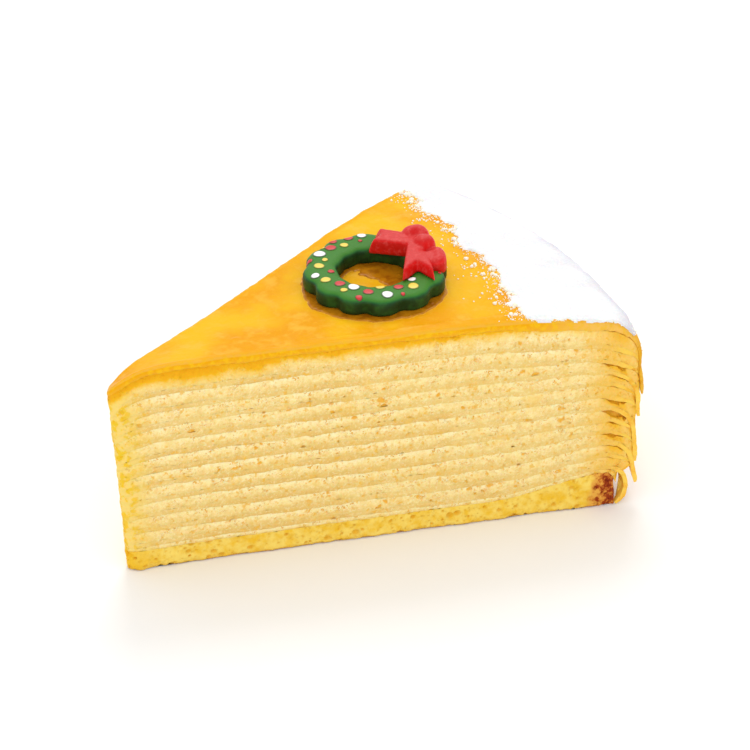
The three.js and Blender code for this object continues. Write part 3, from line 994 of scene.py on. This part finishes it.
def trim_sheet(sheet, keep, thickness):
    """Takes away the faces of a sheet that have no point to keep and thickens the rest."""
    mesh = sheet.data
    bpy.ops.object.mode_set(mode="EDIT")
    bpy.ops.mesh.select_mode(type="FACE")
    bpy.ops.mesh.select_all(action="DESELECT")
    bpy.ops.object.mode_set(mode="OBJECT")
    for face in mesh.polygons:
        face.select = not keep[list(face.vertices)].any()
    bpy.ops.object.mode_set(mode="EDIT")
    bpy.ops.mesh.delete(type="FACE")
    bpy.ops.object.mode_set(mode="OBJECT")
    wall = sheet.modifiers.new("wall", "SOLIDIFY")
    wall.thickness = thickness * MM
    wall.offset = -1
    bpy.ops.object.modifier_apply(modifier=wall.name)


SUGAR_INNER = 80.0  # the sugar sheet is cut from this band of the glaze
SUGAR_OUTER = 117.0
SUGAR_WALL = 0.25


def sugar_cover(arc, a):
    """Above 0 where icing sugar lies, in millimetres in from its ragged edge."""
    across = a * 100.0
    slant = (a + HALF_ANGLE) / (2 * HALF_ANGLE)
    edge = SUGAR_START + SUGAR_SLANT * slant**2
    ragged = (1.7 * lumps(arc, across, 0, 3.6, 101) + 1.2 * lumps(arc, across, 0, 1.5, 102)
              + 0.4 * lumps(arc, across, 0, 0.7, 103))
    inner = arc - edge + ragged
    front = (a + HALF_ANGLE) * arc - 0.35 + 0.4 * ragged
    lower = 112.6 - arc + 1.3 * ragged
    return np.minimum(np.minimum(inner, 1.6 * front), lower)


def sugar_depth(arc, a, cover):
    across = a * 100.0
    heaped = (0.24 + 0.1 * lumps(arc, across, 0, 2.2, 104) + 0.1 * lumps(arc, across, 0, 0.8, 105)
              + 0.05 * lumps(arc, across, 0, 0.45, 106))
    return np.where(cover > 0, heaped * smooth(0, 0.7, cover) + 0.04, -0.12)


def icing_sugar_finish():
    finish = Finish("icing_sugar", 0.9, Subsurface_Weight=0.15, Subsurface_Scale=0.8 * MM,
                    Specular_IOR_Level=0.1)
    grain = finish.level(finish.noise(0.5, 3.0, 0.7), 0.3, 0.7)
    paint = finish.mix(grain, colour(232, 231, 232), colour(242, 241, 240))
    # painted shade: down the outer slope, which turns away from the light, the sugar is painted greyer and
    # bluer; the orange specks are the glaze showing through the thinner sugar there
    slope = finish.mix(grain, colour(206, 203, 211), colour(220, 217, 225))
    speck = finish.level(finish.noise(0.8, 3.0, 0.7), 0.56, 0.7)
    slope = finish.mix(finish.math("MULTIPLY", speck, 0.4), slope, colour(222, 186, 150))
    finish.paint(finish.mix(finish.tag("thin"), paint, slope))
    crumb_bump(finish, 0.35, 0.12)
    return finish.material


def stray_sugar_finish():
    finish = Finish("stray_icing_sugar", 0.9, Subsurface_Weight=0.15, Subsurface_Scale=0.3 * MM,
                    Specular_IOR_Level=0.1)
    grain = finish.level(finish.noise(0.5, 3.0, 0.7), 0.3, 0.7)
    finish.paint(finish.mix(grain, colour(250, 243, 224), colour(255, 250, 238)))
    crumb_bump(finish, 0.25, 0.04)
    return finish.material


def sugar_sheet(material):
    """Icing sugar dusted over the rim, thick on top and ragged at its edges."""
    sheet, along, across = flat_grid("icing_sugar_dusting", 136, 270)
    arc = SUGAR_INNER + (SUGAR_OUTER - SUGAR_INNER) * along
    a = HALF_ANGLE * (2 * across - 1) * 0.996
    cover = sugar_cover(arc, a)
    r, z, slope = glaze_skin(arc, a)
    depth = sugar_depth(arc, a, cover)
    move_points(sheet, place(r + depth * np.sin(slope), a, z + depth * np.cos(slope)) * MM)
    # the thin tag grows with the slope: it carries the painted shade down the rim and the specks of the
    # thinner sugar
    tag(sheet, "thin", smooth(0.1, 0.9, slope + 0.25 * lumps(arc, a * 100, 0, 5.0, 107)))
    trim_sheet(sheet, cover > 0, SUGAR_WALL)
    return finish_piece(sheet, material, angle=80)


def grain_cloud(name, shapes, places, sizes, seed):
    """Many small squashed grains, copied from one, as one mesh."""
    rng = np.random.default_rng(seed)
    deselect_all()
    bpy.ops.mesh.primitive_ico_sphere_add(subdivisions=1, radius=1)
    grain = bpy.context.object
    shape = points_of(grain)
    faces = np.array([list(face.vertices) for face in grain.data.polygons])
    bpy.data.objects.remove(grain)
    count = len(places)
    turn = rng.uniform(0, 2 * math.pi, count)
    squash = rng.uniform(shapes[0], shapes[1], (count, 3))
    uneven = 1 + rng.uniform(-0.16, 0.16, (count, len(shape), 1))
    cloud = shape[None] * squash[:, None] * uneven
    x = cloud[..., 0] * np.cos(turn)[:, None] - cloud[..., 1] * np.sin(turn)[:, None]
    y = cloud[..., 0] * np.sin(turn)[:, None] + cloud[..., 1] * np.cos(turn)[:, None]
    cloud = np.stack([x, y, cloud[..., 2]], axis=-1) * sizes[:, None, None] + places[:, None]
    every = (faces[None] + len(shape) * np.arange(count)[:, None, None]).reshape(-1, 3)
    mesh = bpy.data.meshes.new(name)
    mesh.from_pydata((cloud.reshape(-1, 3) * MM).tolist(), [], every.tolist())
    piece = bpy.data.objects.new(name, mesh)
    bpy.context.collection.objects.link(piece)
    return piece


def sugar_grains(name, count, reach, smallest, largest, seed, material):
    """Stray grains round the edge of the dusting: reach is how far out they fell."""
    rng = np.random.default_rng(seed)
    arc = rng.uniform(72, 116, count)
    a = rng.uniform(-HALF_ANGLE, HALF_ANGLE, count) * 0.992
    cover = sugar_cover(arc, a)
    gathered = 0.35 + 0.65 * smooth(-0.1, 0.5, lumps(arc, a * 100, 0, 2.4, seed))
    chosen = (cover < 0.25) & (rng.random(count) < gathered * np.exp(np.minimum(0, cover) / reach))
    arc, a = arc[chosen], a[chosen]
    sizes = rng.uniform(smallest, largest, len(arc))
    r, z, slope = glaze_skin(arc, a)
    lift = 0.3 * sizes
    places = place(r + lift * np.sin(slope), a, z + lift * np.cos(slope))
    piece = grain_cloud(name, (0.6, 1.2), places, sizes, seed)
    return finish_piece(piece, material, angle=80)


# ---------------------------------------------------------------- wreath
def wreath_place():
    """From the wreath's own frame, its centre on the glaze, to the slice's frame."""
    centre = Vector((APEX_X + WREATH_DISTANCE, WREATH_ASIDE, WREATH_REST))
    return (Matrix.Translation(centre * MM) @ Matrix.Rotation(WREATH_TILT, 4, "X")
            @ Matrix.Rotation(BOW_TURN, 4, "Z"))


def settle(piece):
    """Moves a piece's points from the wreath's frame in millimetres to their real place."""
    points = points_of(piece)
    matrix = np.array(wreath_place())
    moved = (points * MM) @ matrix[:3, :3].T + matrix[:3, 3]
    move_points(piece, moved)


RING_POINTS = 44
RING_STEPS = 168


def ring_shape(turn, way):
    """The wreath's section at a direction: turn runs round the section, from outside over
    the top; way is the direction round the ring."""
    middle = (WREATH_RADIUS + WREATH_HOLE) / 2
    half = (WREATH_RADIUS - WREATH_HOLE) / 2
    c, s = np.cos(turn), np.sin(turn)
    upper = s > 0
    x = np.sign(c) * np.abs(c) ** np.where(upper, 0.56, 0.2)
    z = np.sign(s) * np.abs(s) ** np.where(upper, 0.7, 0.3)
    z = np.where(upper, 0.1 + 0.9 * z, 0.1 + 1.1 * z)
    outer = smooth(0.1, 0.95, x)
    inner = smooth(0.1, 0.95, -x)
    phase = WREATH_LOBES * way + 0.5 * np.sin(3 * way) + 1.2
    valley = (0.5 + 0.5 * np.cos(phase)) ** 2.0
    low = 1 - 0.55 * smooth(0.0, 1.0, z)
    wobble = 0.12 * lumps(np.cos(way) * 9, np.sin(way) * 9, z, 4.0, 111)
    r = middle + half * x - 1.15 * valley * outer * low + 0.25 * valley * inner + wobble
    slump = 0.22 * valley * smooth(0.3, 1.0, x)
    height = WREATH_HEIGHT / 2 * (1 + z) - slump * upper
    return r, height


def moulded_bump(finish, grain=0.5, depth=0.05):
    finish.bump(finish.noise(grain, 3.0, 0.6), depth)


def green_sugar_finish():
    finish = Finish("green_sugar", 0.5, Subsurface_Weight=0.05, Subsurface_Scale=0.6 * MM,
                    Specular_IOR_Level=0.2)
    # painted light: the height tag runs from the foot to the upward-facing top, so the sides are painted
    # dark green as painted shade and the top light green
    height = finish.tag("height")
    paint = finish.ramp(height, (0.0, colour(28, 50, 14)), (0.45, colour(20, 62, 26)),
                        (0.8, colour(30, 96, 38)), (1.0, colour(60, 122, 34)))
    cloud = finish.level(finish.noise(3.0, 3.0), 0.4, 0.7)
    paint = finish.mix(finish.math("MULTIPLY", cloud, 0.3), paint, colour(60, 126, 44))
    finish.paint(paint)
    moulded_bump(finish)
    return finish.material


def wreath_ring():
    """A moulded sugar ring: a round section spun full circle, then pressed to its shape."""
    deselect_all()
    bpy.ops.mesh.primitive_circle_add(vertices=RING_POINTS, radius=1, location=(10, 0, 0),
                                      rotation=(math.pi / 2, 0, 0))
    ring = bpy.context.object
    ring.name = ring.data.name = "wreath_moulding"
    bpy.ops.object.transform_apply(location=True, rotation=True, scale=True)
    bpy.ops.object.mode_set(mode="EDIT")
    bpy.ops.mesh.select_all(action="SELECT")
    bpy.ops.mesh.spin(steps=RING_STEPS, angle=2 * math.pi, center=(0, 0, 0), axis=(0, 0, 1))
    bpy.ops.mesh.select_all(action="SELECT")
    bpy.ops.mesh.remove_doubles(threshold=1e-4)
    bpy.ops.object.mode_set(mode="OBJECT")
    points = points_of(ring)
    way = np.arctan2(points[:, 1], points[:, 0])
    turn = np.arctan2(points[:, 2], np.hypot(points[:, 0], points[:, 1]) - 10)
    r, height = ring_shape(turn, way)
    move_points(ring, np.stack([r * np.cos(way), r * np.sin(way), height], axis=-1))
    # for the painted light of the finish: how much each point faces up near the top, and its height
    facing = np.empty(3 * len(points))
    ring.data.vertices.foreach_get("normal", facing)
    up = np.abs(facing.reshape(-1, 3)[:, 2]) * (height > 0.5 * WREATH_HEIGHT)
    tag(ring, "height", 0.35 * smooth(0.0, 0.9, height / WREATH_HEIGHT) + 0.65 * smooth(0.2, 0.95, up))
    return ring


def dot_finish(name, face, edge):
    finish = Finish(name, 0.4)
    rim = finish.level(finish.tag("rim"), 0.72, 0.98)
    paint = finish.mix(finish.level(finish.noise(0.9), 0.4, 0.7), colour(*face), colour(*face[:2], face[2]))
    finish.paint(finish.mix(rim, paint, colour(*edge)))
    moulded_bump(finish, 0.4, 0.03)
    return finish.material


# direction in degrees, share of the wreath's radius, diameter
WHITE_DOTS = [(102, .88, 2.2), (156, .84, 2.75), (198, .86, 2.0), (244, .66, 2.7), (282, .83, 2.6),
              (322, .65, 1.85)]
YELLOW_DOTS = [(143, .91, 1.2), (126, .72, 1.85), (166, .71, 1.4), (180, .77, 2.3),
               (210, .78, 2.25), (238, .80, 1.6), (277, .60, 2.1), (312, .79, 2.5)]
RED_DOTS = [(130, .90, 1.7), (115, .87, 2.1), (140, .80, 2.4), (106, .73, 1.0), (169, .92, 1.4),
            (194, .62, 1.55), (226, .69, 2.3), (263, .74, 2.25), (256, .90, 1.5), (298, .69, 2.1),
            (296, .88, 1.0), (347, .92, .9)]
DOT_HEIGHT = 0.22


def ring_dots(name, dots, ring, material):
    """Flat sugar dots pressed on the wreath, each following the surface under it."""
    rng = np.random.default_rng(len(dots))
    copies = []
    for direction, share, diameter in dots:
        deselect_all()
        bpy.ops.mesh.primitive_cylinder_add(vertices=28, radius=1, depth=1, end_fill_type="NGON")
        dot = bpy.context.object
        bpy.ops.object.mode_set(mode="EDIT")
        bpy.ops.mesh.select_mode(type="FACE")
        bpy.ops.mesh.select_all(action="DESELECT")
        bpy.ops.object.mode_set(mode="OBJECT")
        for face in dot.data.polygons:
            face.select = face.normal.z > 0.9
        bpy.ops.object.mode_set(mode="EDIT")
        for thickness in (0.12, 0.2, 0.25):
            bpy.ops.mesh.inset(thickness=thickness, depth=0)
        bpy.ops.object.mode_set(mode="OBJECT")
        points = points_of(dot)
        away = np.hypot(points[:, 0], points[:, 1])
        angle = np.arctan2(points[:, 1], points[:, 0])
        uneven = 1 + 0.05 * np.sin(2 * angle + rng.uniform(0, 6))
        uneven = uneven + 0.03 * np.sin(3 * angle + rng.uniform(0, 6))
        way = math.radians(direction)
        x = WREATH_RADIUS * share * math.cos(way) + points[:, 0] * diameter / 2 * uneven
        y = WREATH_RADIUS * share * math.sin(way) + points[:, 1] * diameter / 2 * uneven
        rise = np.where(points[:, 2] > 0, DOT_HEIGHT * (1 - 0.55 * away**4), -0.25)
        z = np.empty(len(points))
        for i in range(len(points)):
            hit, where, _, _ = ring.ray_cast((x[i], y[i], 9.0), (0, 0, -1))
            z[i] = where.z if hit else WREATH_HEIGHT - 1.4
        move_points(dot, np.stack([x, y, z + rise], axis=-1))
        tag(dot, "rim", np.minimum(1, away))
        copies.append(dot)
    deselect_all()
    for dot in copies:
        dot.select_set(True)
    bpy.context.view_layer.objects.active = copies[0]
    bpy.ops.object.join()
    piece = bpy.context.object
    piece.name = piece.data.name = name
    settle(piece)
    return finish_piece(piece, material, angle=60)


# ---------------------------------------------------------------- bow
TAIL_DRAFT = 0.86  # the top of a ribbon end is this much smaller than its foot


def ribbon_tail(length, near, far, notch, thickness, degrees, x, y):
    """A ribbon end lying flat, with a notch cut in its far end and sloping sides."""
    deselect_all()
    bpy.ops.mesh.primitive_circle_add(vertices=5, radius=1, fill_type="NGON")
    tail = bpy.context.object
    outline = [(-1.5, -near / 2), (length, -far / 2), (length - notch, 0), (length, far / 2),
               (-1.5, near / 2)]
    move_points(tail, np.array([(px, py, 0.0) for px, py in outline]))
    bpy.ops.object.mode_set(mode="EDIT")
    bpy.ops.mesh.select_all(action="SELECT")
    bpy.ops.mesh.extrude_region_move(TRANSFORM_OT_translate={"value": (0, 0, thickness)})
    bpy.ops.transform.resize(value=(TAIL_DRAFT, TAIL_DRAFT, 1), center_override=(0, 0, 0))
    bpy.ops.mesh.select_all(action="SELECT")
    bpy.ops.mesh.normals_make_consistent(inside=False)
    bpy.ops.mesh.bevel(offset=0.45, segments=3, affect="EDGES")
    bpy.ops.object.mode_set(mode="OBJECT")
    turn = Matrix.Translation((x, y, 0)) @ Matrix.Rotation(math.radians(degrees), 4, "Z")
    tail.data.transform(turn)
    return tail


def padded_lump(length, width, height, degrees, x, y):
    """A padded lump of the bow: a ball with its top flattened, cut off at the wreath."""
    deselect_all()
    bpy.ops.mesh.primitive_uv_sphere_add(segments=32, ring_count=20, radius=1)
    lump = bpy.context.object
    points = points_of(lump)
    points[:, 2] = np.maximum(points[:, 2], -0.05)
    square = np.sign(points) * np.abs(points) ** (0.85, 0.85, 0.62)
    move_points(lump, square * (length / 2, width / 2, height))
    turn = Matrix.Translation((x, y, 0)) @ Matrix.Rotation(math.radians(degrees), 4, "Z")
    lump.data.transform(turn)
    return lump


def press(points, centre, radii, degrees, depth):
    """Presses a soft hollow into the bow: a share of the height is lost within an oval."""
    turn = math.radians(degrees)
    x = points[:, 0] - centre[0]
    y = points[:, 1] - centre[1]
    u = (x * math.cos(turn) + y * math.sin(turn)) / radii[0]
    w = (-x * math.sin(turn) + y * math.cos(turn)) / radii[1]
    share = np.exp(-(u * u + w * w))
    points[:, 2] -= depth * share * smooth(0.5, 2.0, points[:, 2])
    return points


def red_sugar_finish():
    finish = Finish("red_sugar", 0.45, Subsurface_Weight=0.08, Subsurface_Scale=0.8 * MM,
                    Specular_IOR_Level=0.2)
    # painted light: by the height tag, which follows how far the surface faces up, faces turned down are
    # painted darker, the sides deep red and the top pinker as painted sheen; the pale pink grains are
    # painted glints of the sugar
    height = finish.tag("height")
    paint = finish.ramp(height, (0.0, colour(196, 16, 8)), (0.4, colour(222, 16, 12)),
                        (0.8, colour(206, 26, 26)), (1.0, colour(204, 50, 48)))
    grain = finish.level(finish.noise(0.8, 3.0), 0.45, 0.75)
    finish.paint(finish.mix(finish.math("MULTIPLY", grain, 0.35), paint, colour(232, 96, 92)))
    moulded_bump(finish, 0.6, 0.07)
    return finish.material


def bed_bow(points, ring):
    """Sets the bow on the wreath, its foot drawn down on the rounded top."""
    rise = np.maximum(points[:, 2], 0)
    gap = np.zeros(len(points))
    for i in np.flatnonzero(rise < 1.6):
        hit, where, _, _ = ring.ray_cast((points[i, 0], points[i, 1], 9.0), (0, 0, -1))
        gap[i] = min(0.8, WREATH_HEIGHT - where.z) if hit else 0.8
    points[:, 2] = WREATH_HEIGHT + 0.06 + rise - gap * (1 - smooth(0, 1.6, rise))
    return points


def wreath_bow(ring, material):
    """The bow, moulded in one piece: tails, loops and knot melted together and softened."""
    parts = [
        ribbon_tail(9.9, 4.8, 6.0, 1.3, 2.8, 164, 8.6, 6.6),
        ribbon_tail(12.6, 3.4, 7.2, 4.4, 2.7, -87, 8.6, 4.9),
        padded_lump(6.4, 5.2, 3.9, 20, 8.6, 9.7),
        padded_lump(7.2, 5.0, 3.1, 96, 12.7, 0.9),
        padded_lump(5.0, 4.4, 4.2, 20, 10.5, 5.4),
    ]
    deselect_all()
    for part in parts:
        part.select_set(True)
    bpy.context.view_layer.objects.active = parts[0]
    bpy.ops.object.join()
    bow = bpy.context.object
    bow.name = bow.data.name = "wreath_ribbon_bow"
    melt = bow.modifiers.new("melt", "REMESH")
    melt.mode = "VOXEL"
    melt.voxel_size = 0.2
    bpy.ops.object.modifier_apply(modifier=melt.name)
    soften = bow.modifiers.new("soften", "SMOOTH")
    soften.factor = 0.5
    soften.iterations = 7
    bpy.ops.object.modifier_apply(modifier=soften.name)
    points = points_of(bow)
    points = press(points, (8.6, 8.4), (1.5, 0.8), 20, 1.2)
    points = press(points, (11.3, 2.6), (1.3, 0.8), 20, 1.1)
    points = press(points, (12.2, 0.2), (0.9, 2.4), 6, 0.5)
    points[:, 2] += 0.05 * lumps(points[:, 0], points[:, 1], points[:, 2], 0.8, 121)
    points = bed_bow(points, ring)
    move_points(bow, points)
    # for the painted light of the finish: how far each point faces up
    up = np.empty(3 * len(points))
    bow.data.vertices.foreach_get("normal", up)
    facing = up.reshape(-1, 3)[:, 2]
    tag(bow, "height", smooth(-0.1, 0.95, facing))
    settle(bow)
    return finish_piece(bow, material, ["wreath_bow"], 80)


# ---------------------------------------------------------------- syrup under the wreath, dark with painted shadow
def syrup_shadow_finish():
    finish = Finish("syrup_with_painted_shadow", 0.2, Specular_IOR_Level=0.15)
    # painted shadow: the dark browns stand for the shadow and reflection of the wreath on the pooled glaze;
    # the thin edge turns to the glaze's own colour
    mottle = finish.level(finish.noise(2.0, 3.0), 0.35, 0.7)
    paint = finish.mix(mottle, colour(192, 124, 14), colour(158, 92, 8))
    finish.paint(finish.mix(finish.level(finish.tag("rim"), 0.3, 1.0), paint, colour(232, 172, 44)))
    finish.bump(finish.noise(1.5, 2.0), 0.05)
    return finish.material


def syrup_shadow_cover(x, y):
    """Above 0 where the dark sheet lies: round the foot of the wreath, widest towards the front, and over
    part of its hole. It stands partly for syrup gathered there and partly for the painted shadow of the
    wreath.
    """
    r = np.hypot(x, y)
    way = np.arctan2(y, x)
    ragged = 0.45 * lumps(x, y, 0, 2.6, 131) + 0.25 * lumps(x, y, 0, 1.1, 132)
    front = np.cos(way - math.radians(266))
    skirt = WREATH_RADIUS - 0.1 + 1.9 * smooth(-0.2, 0.9, front) + ragged - r
    hole = (x * math.cos(math.radians(50)) + y * math.sin(math.radians(50))) - 0.4 + 2.2 * ragged
    wall = r - (WREATH_HOLE - 0.9) + ragged
    inside = np.maximum(hole, wall)
    return np.where(r > WREATH_HOLE + 1.5, skirt, np.maximum(inside, r - WREATH_HOLE + 0.3))


def syrup(material):
    """Syrup drawn out of the glaze by the wreath, with a rounded edge, painted dark as the shadow and
    reflection of the wreath on it.
    """
    sheet, along, across = flat_grid("syrup_and_painted_shadow_under_wreath", 150, 150)
    x = (along - 0.5) * 38
    y = (across - 0.5) * 38
    cover = syrup_shadow_cover(x, y)
    turn = BOW_TURN
    px = WREATH_DISTANCE + x * math.cos(turn) - y * math.sin(turn)
    py = WREATH_ASIDE + x * math.sin(turn) + y * math.cos(turn)
    arc, a = np.hypot(px, py), np.arctan2(py, px)
    _, z, _ = glaze_skin(arc, a)
    depth = np.where(cover > 0, 0.22 * np.sqrt(smooth(0, 0.6, cover)) + 0.02, -0.15)
    move_points(sheet, np.stack([APEX_X + px, py, z + depth], axis=-1) * MM)
    tag(sheet, "rim", np.clip(1 - cover / 0.35, 0, 1))
    trim_sheet(sheet, cover > 0, 0.12)
    return finish_piece(sheet, material, angle=80)


# ---------------------------------------------------------------- studio
FLOOR_SIZE = 30
FLOOR_GAP = 0.0002  # the floor lies this far under the slice, in metres
# name, place in metres, size in metres and power in watts of each light
LIGHTS = (
    ("key_light", (0.30, 0.42, 0.75), 0.35, 2.2),
    ("front_fill", (-0.45, -0.75, 0.80), 0.6, 1.2),
)
CAMERA_PLACE = (-0.5176, -0.7830, 0.6046)
CAMERA_AIM = (0.00533, -0.00446, 0.02967)
CAMERA_LENS = 248.8
CAMERA_SENSOR = 36.0
CAMERA_FAR_LIMIT = 40.0


def white_studio():
    """A pale floor, an even white room, a key light from behind and a soft front fill."""
    world = bpy.context.scene.world or bpy.data.worlds.new("white_room")
    bpy.context.scene.world = world
    world.use_nodes = True
    world.node_tree.nodes["Background"].inputs["Color"].default_value = (1, 1, 1, 1)
    world.node_tree.nodes["Background"].inputs["Strength"].default_value = 1.0
    deselect_all()
    bpy.ops.mesh.primitive_plane_add(size=FLOOR_SIZE, location=(0, 0, -FLOOR_GAP))
    floor = bpy.context.object
    floor.name = "floor"
    finish = Finish("pale_floor", 0.9)
    finish.paint(finish.mix(finish.noise(60.0), (0.9, 0.9, 0.9, 1), (0.94, 0.94, 0.94, 1)))
    floor.data.materials.append(finish.material)
    for name, position, size, power in LIGHTS:
        bpy.ops.object.light_add(type="AREA", location=position)
        light = bpy.context.object
        light.name = name
        light.data.size = size
        light.data.energy = power
        light.rotation_euler = (-Vector(position)).to_track_quat("-Z", "Y").to_euler()


def camera():
    bpy.ops.object.camera_add(location=CAMERA_PLACE)
    eye = bpy.context.object
    eye.name = "camera"
    eye.rotation_euler = (Vector(CAMERA_AIM) - eye.location).to_track_quat("-Z", "Y").to_euler()
    eye.data.lens = CAMERA_LENS
    eye.data.sensor_width = CAMERA_SENSOR
    eye.data.clip_end = CAMERA_FAR_LIMIT
    bpy.context.scene.camera = eye


# ---------------------------------------------------------------- the slice
cream_paint = cream_finish()
crepe_paint = crepe_finish()
sponge_layer(sponge_finish())
for k in range(1, CREPES + 1):
    cream_layer(k, cream_paint)
    if k < CREPES:
        crepe_layer(k, crepe_paint)
top_crepe(glaze_finish())
icing = icing_sugar_finish()
sugar_sheet(icing)
stray = stray_sugar_finish()
sugar_grains("icing_sugar_powder", 52000, 0.8, 0.08, 0.17, 7, stray)
sugar_grains("icing_sugar_grains", 6000, 2.4, 0.14, 0.28, 8, stray)
sugar_grains("icing_sugar_clumps", 2600, 1.5, 0.3, 0.62, 9, stray)
ring = wreath_ring()
ring_dots("dots_white", WHITE_DOTS, ring, dot_finish("white_dots", (246, 246, 244), (60, 84, 50)))
ring_dots("dots_yellow", YELLOW_DOTS, ring, dot_finish("yellow_dots", (238, 206, 72), (110, 120, 30)))
ring_dots("dots_red", RED_DOTS, ring, dot_finish("red_dots", (202, 28, 24), (96, 60, 34)))
wreath_bow(ring, red_sugar_finish())
settle(ring)
finish_piece(ring, green_sugar_finish(), ["wreath_ring"], 80)
syrup(syrup_shadow_finish())
white_studio()
camera()
bpy.context.scene.view_settings.view_transform = "Standard"
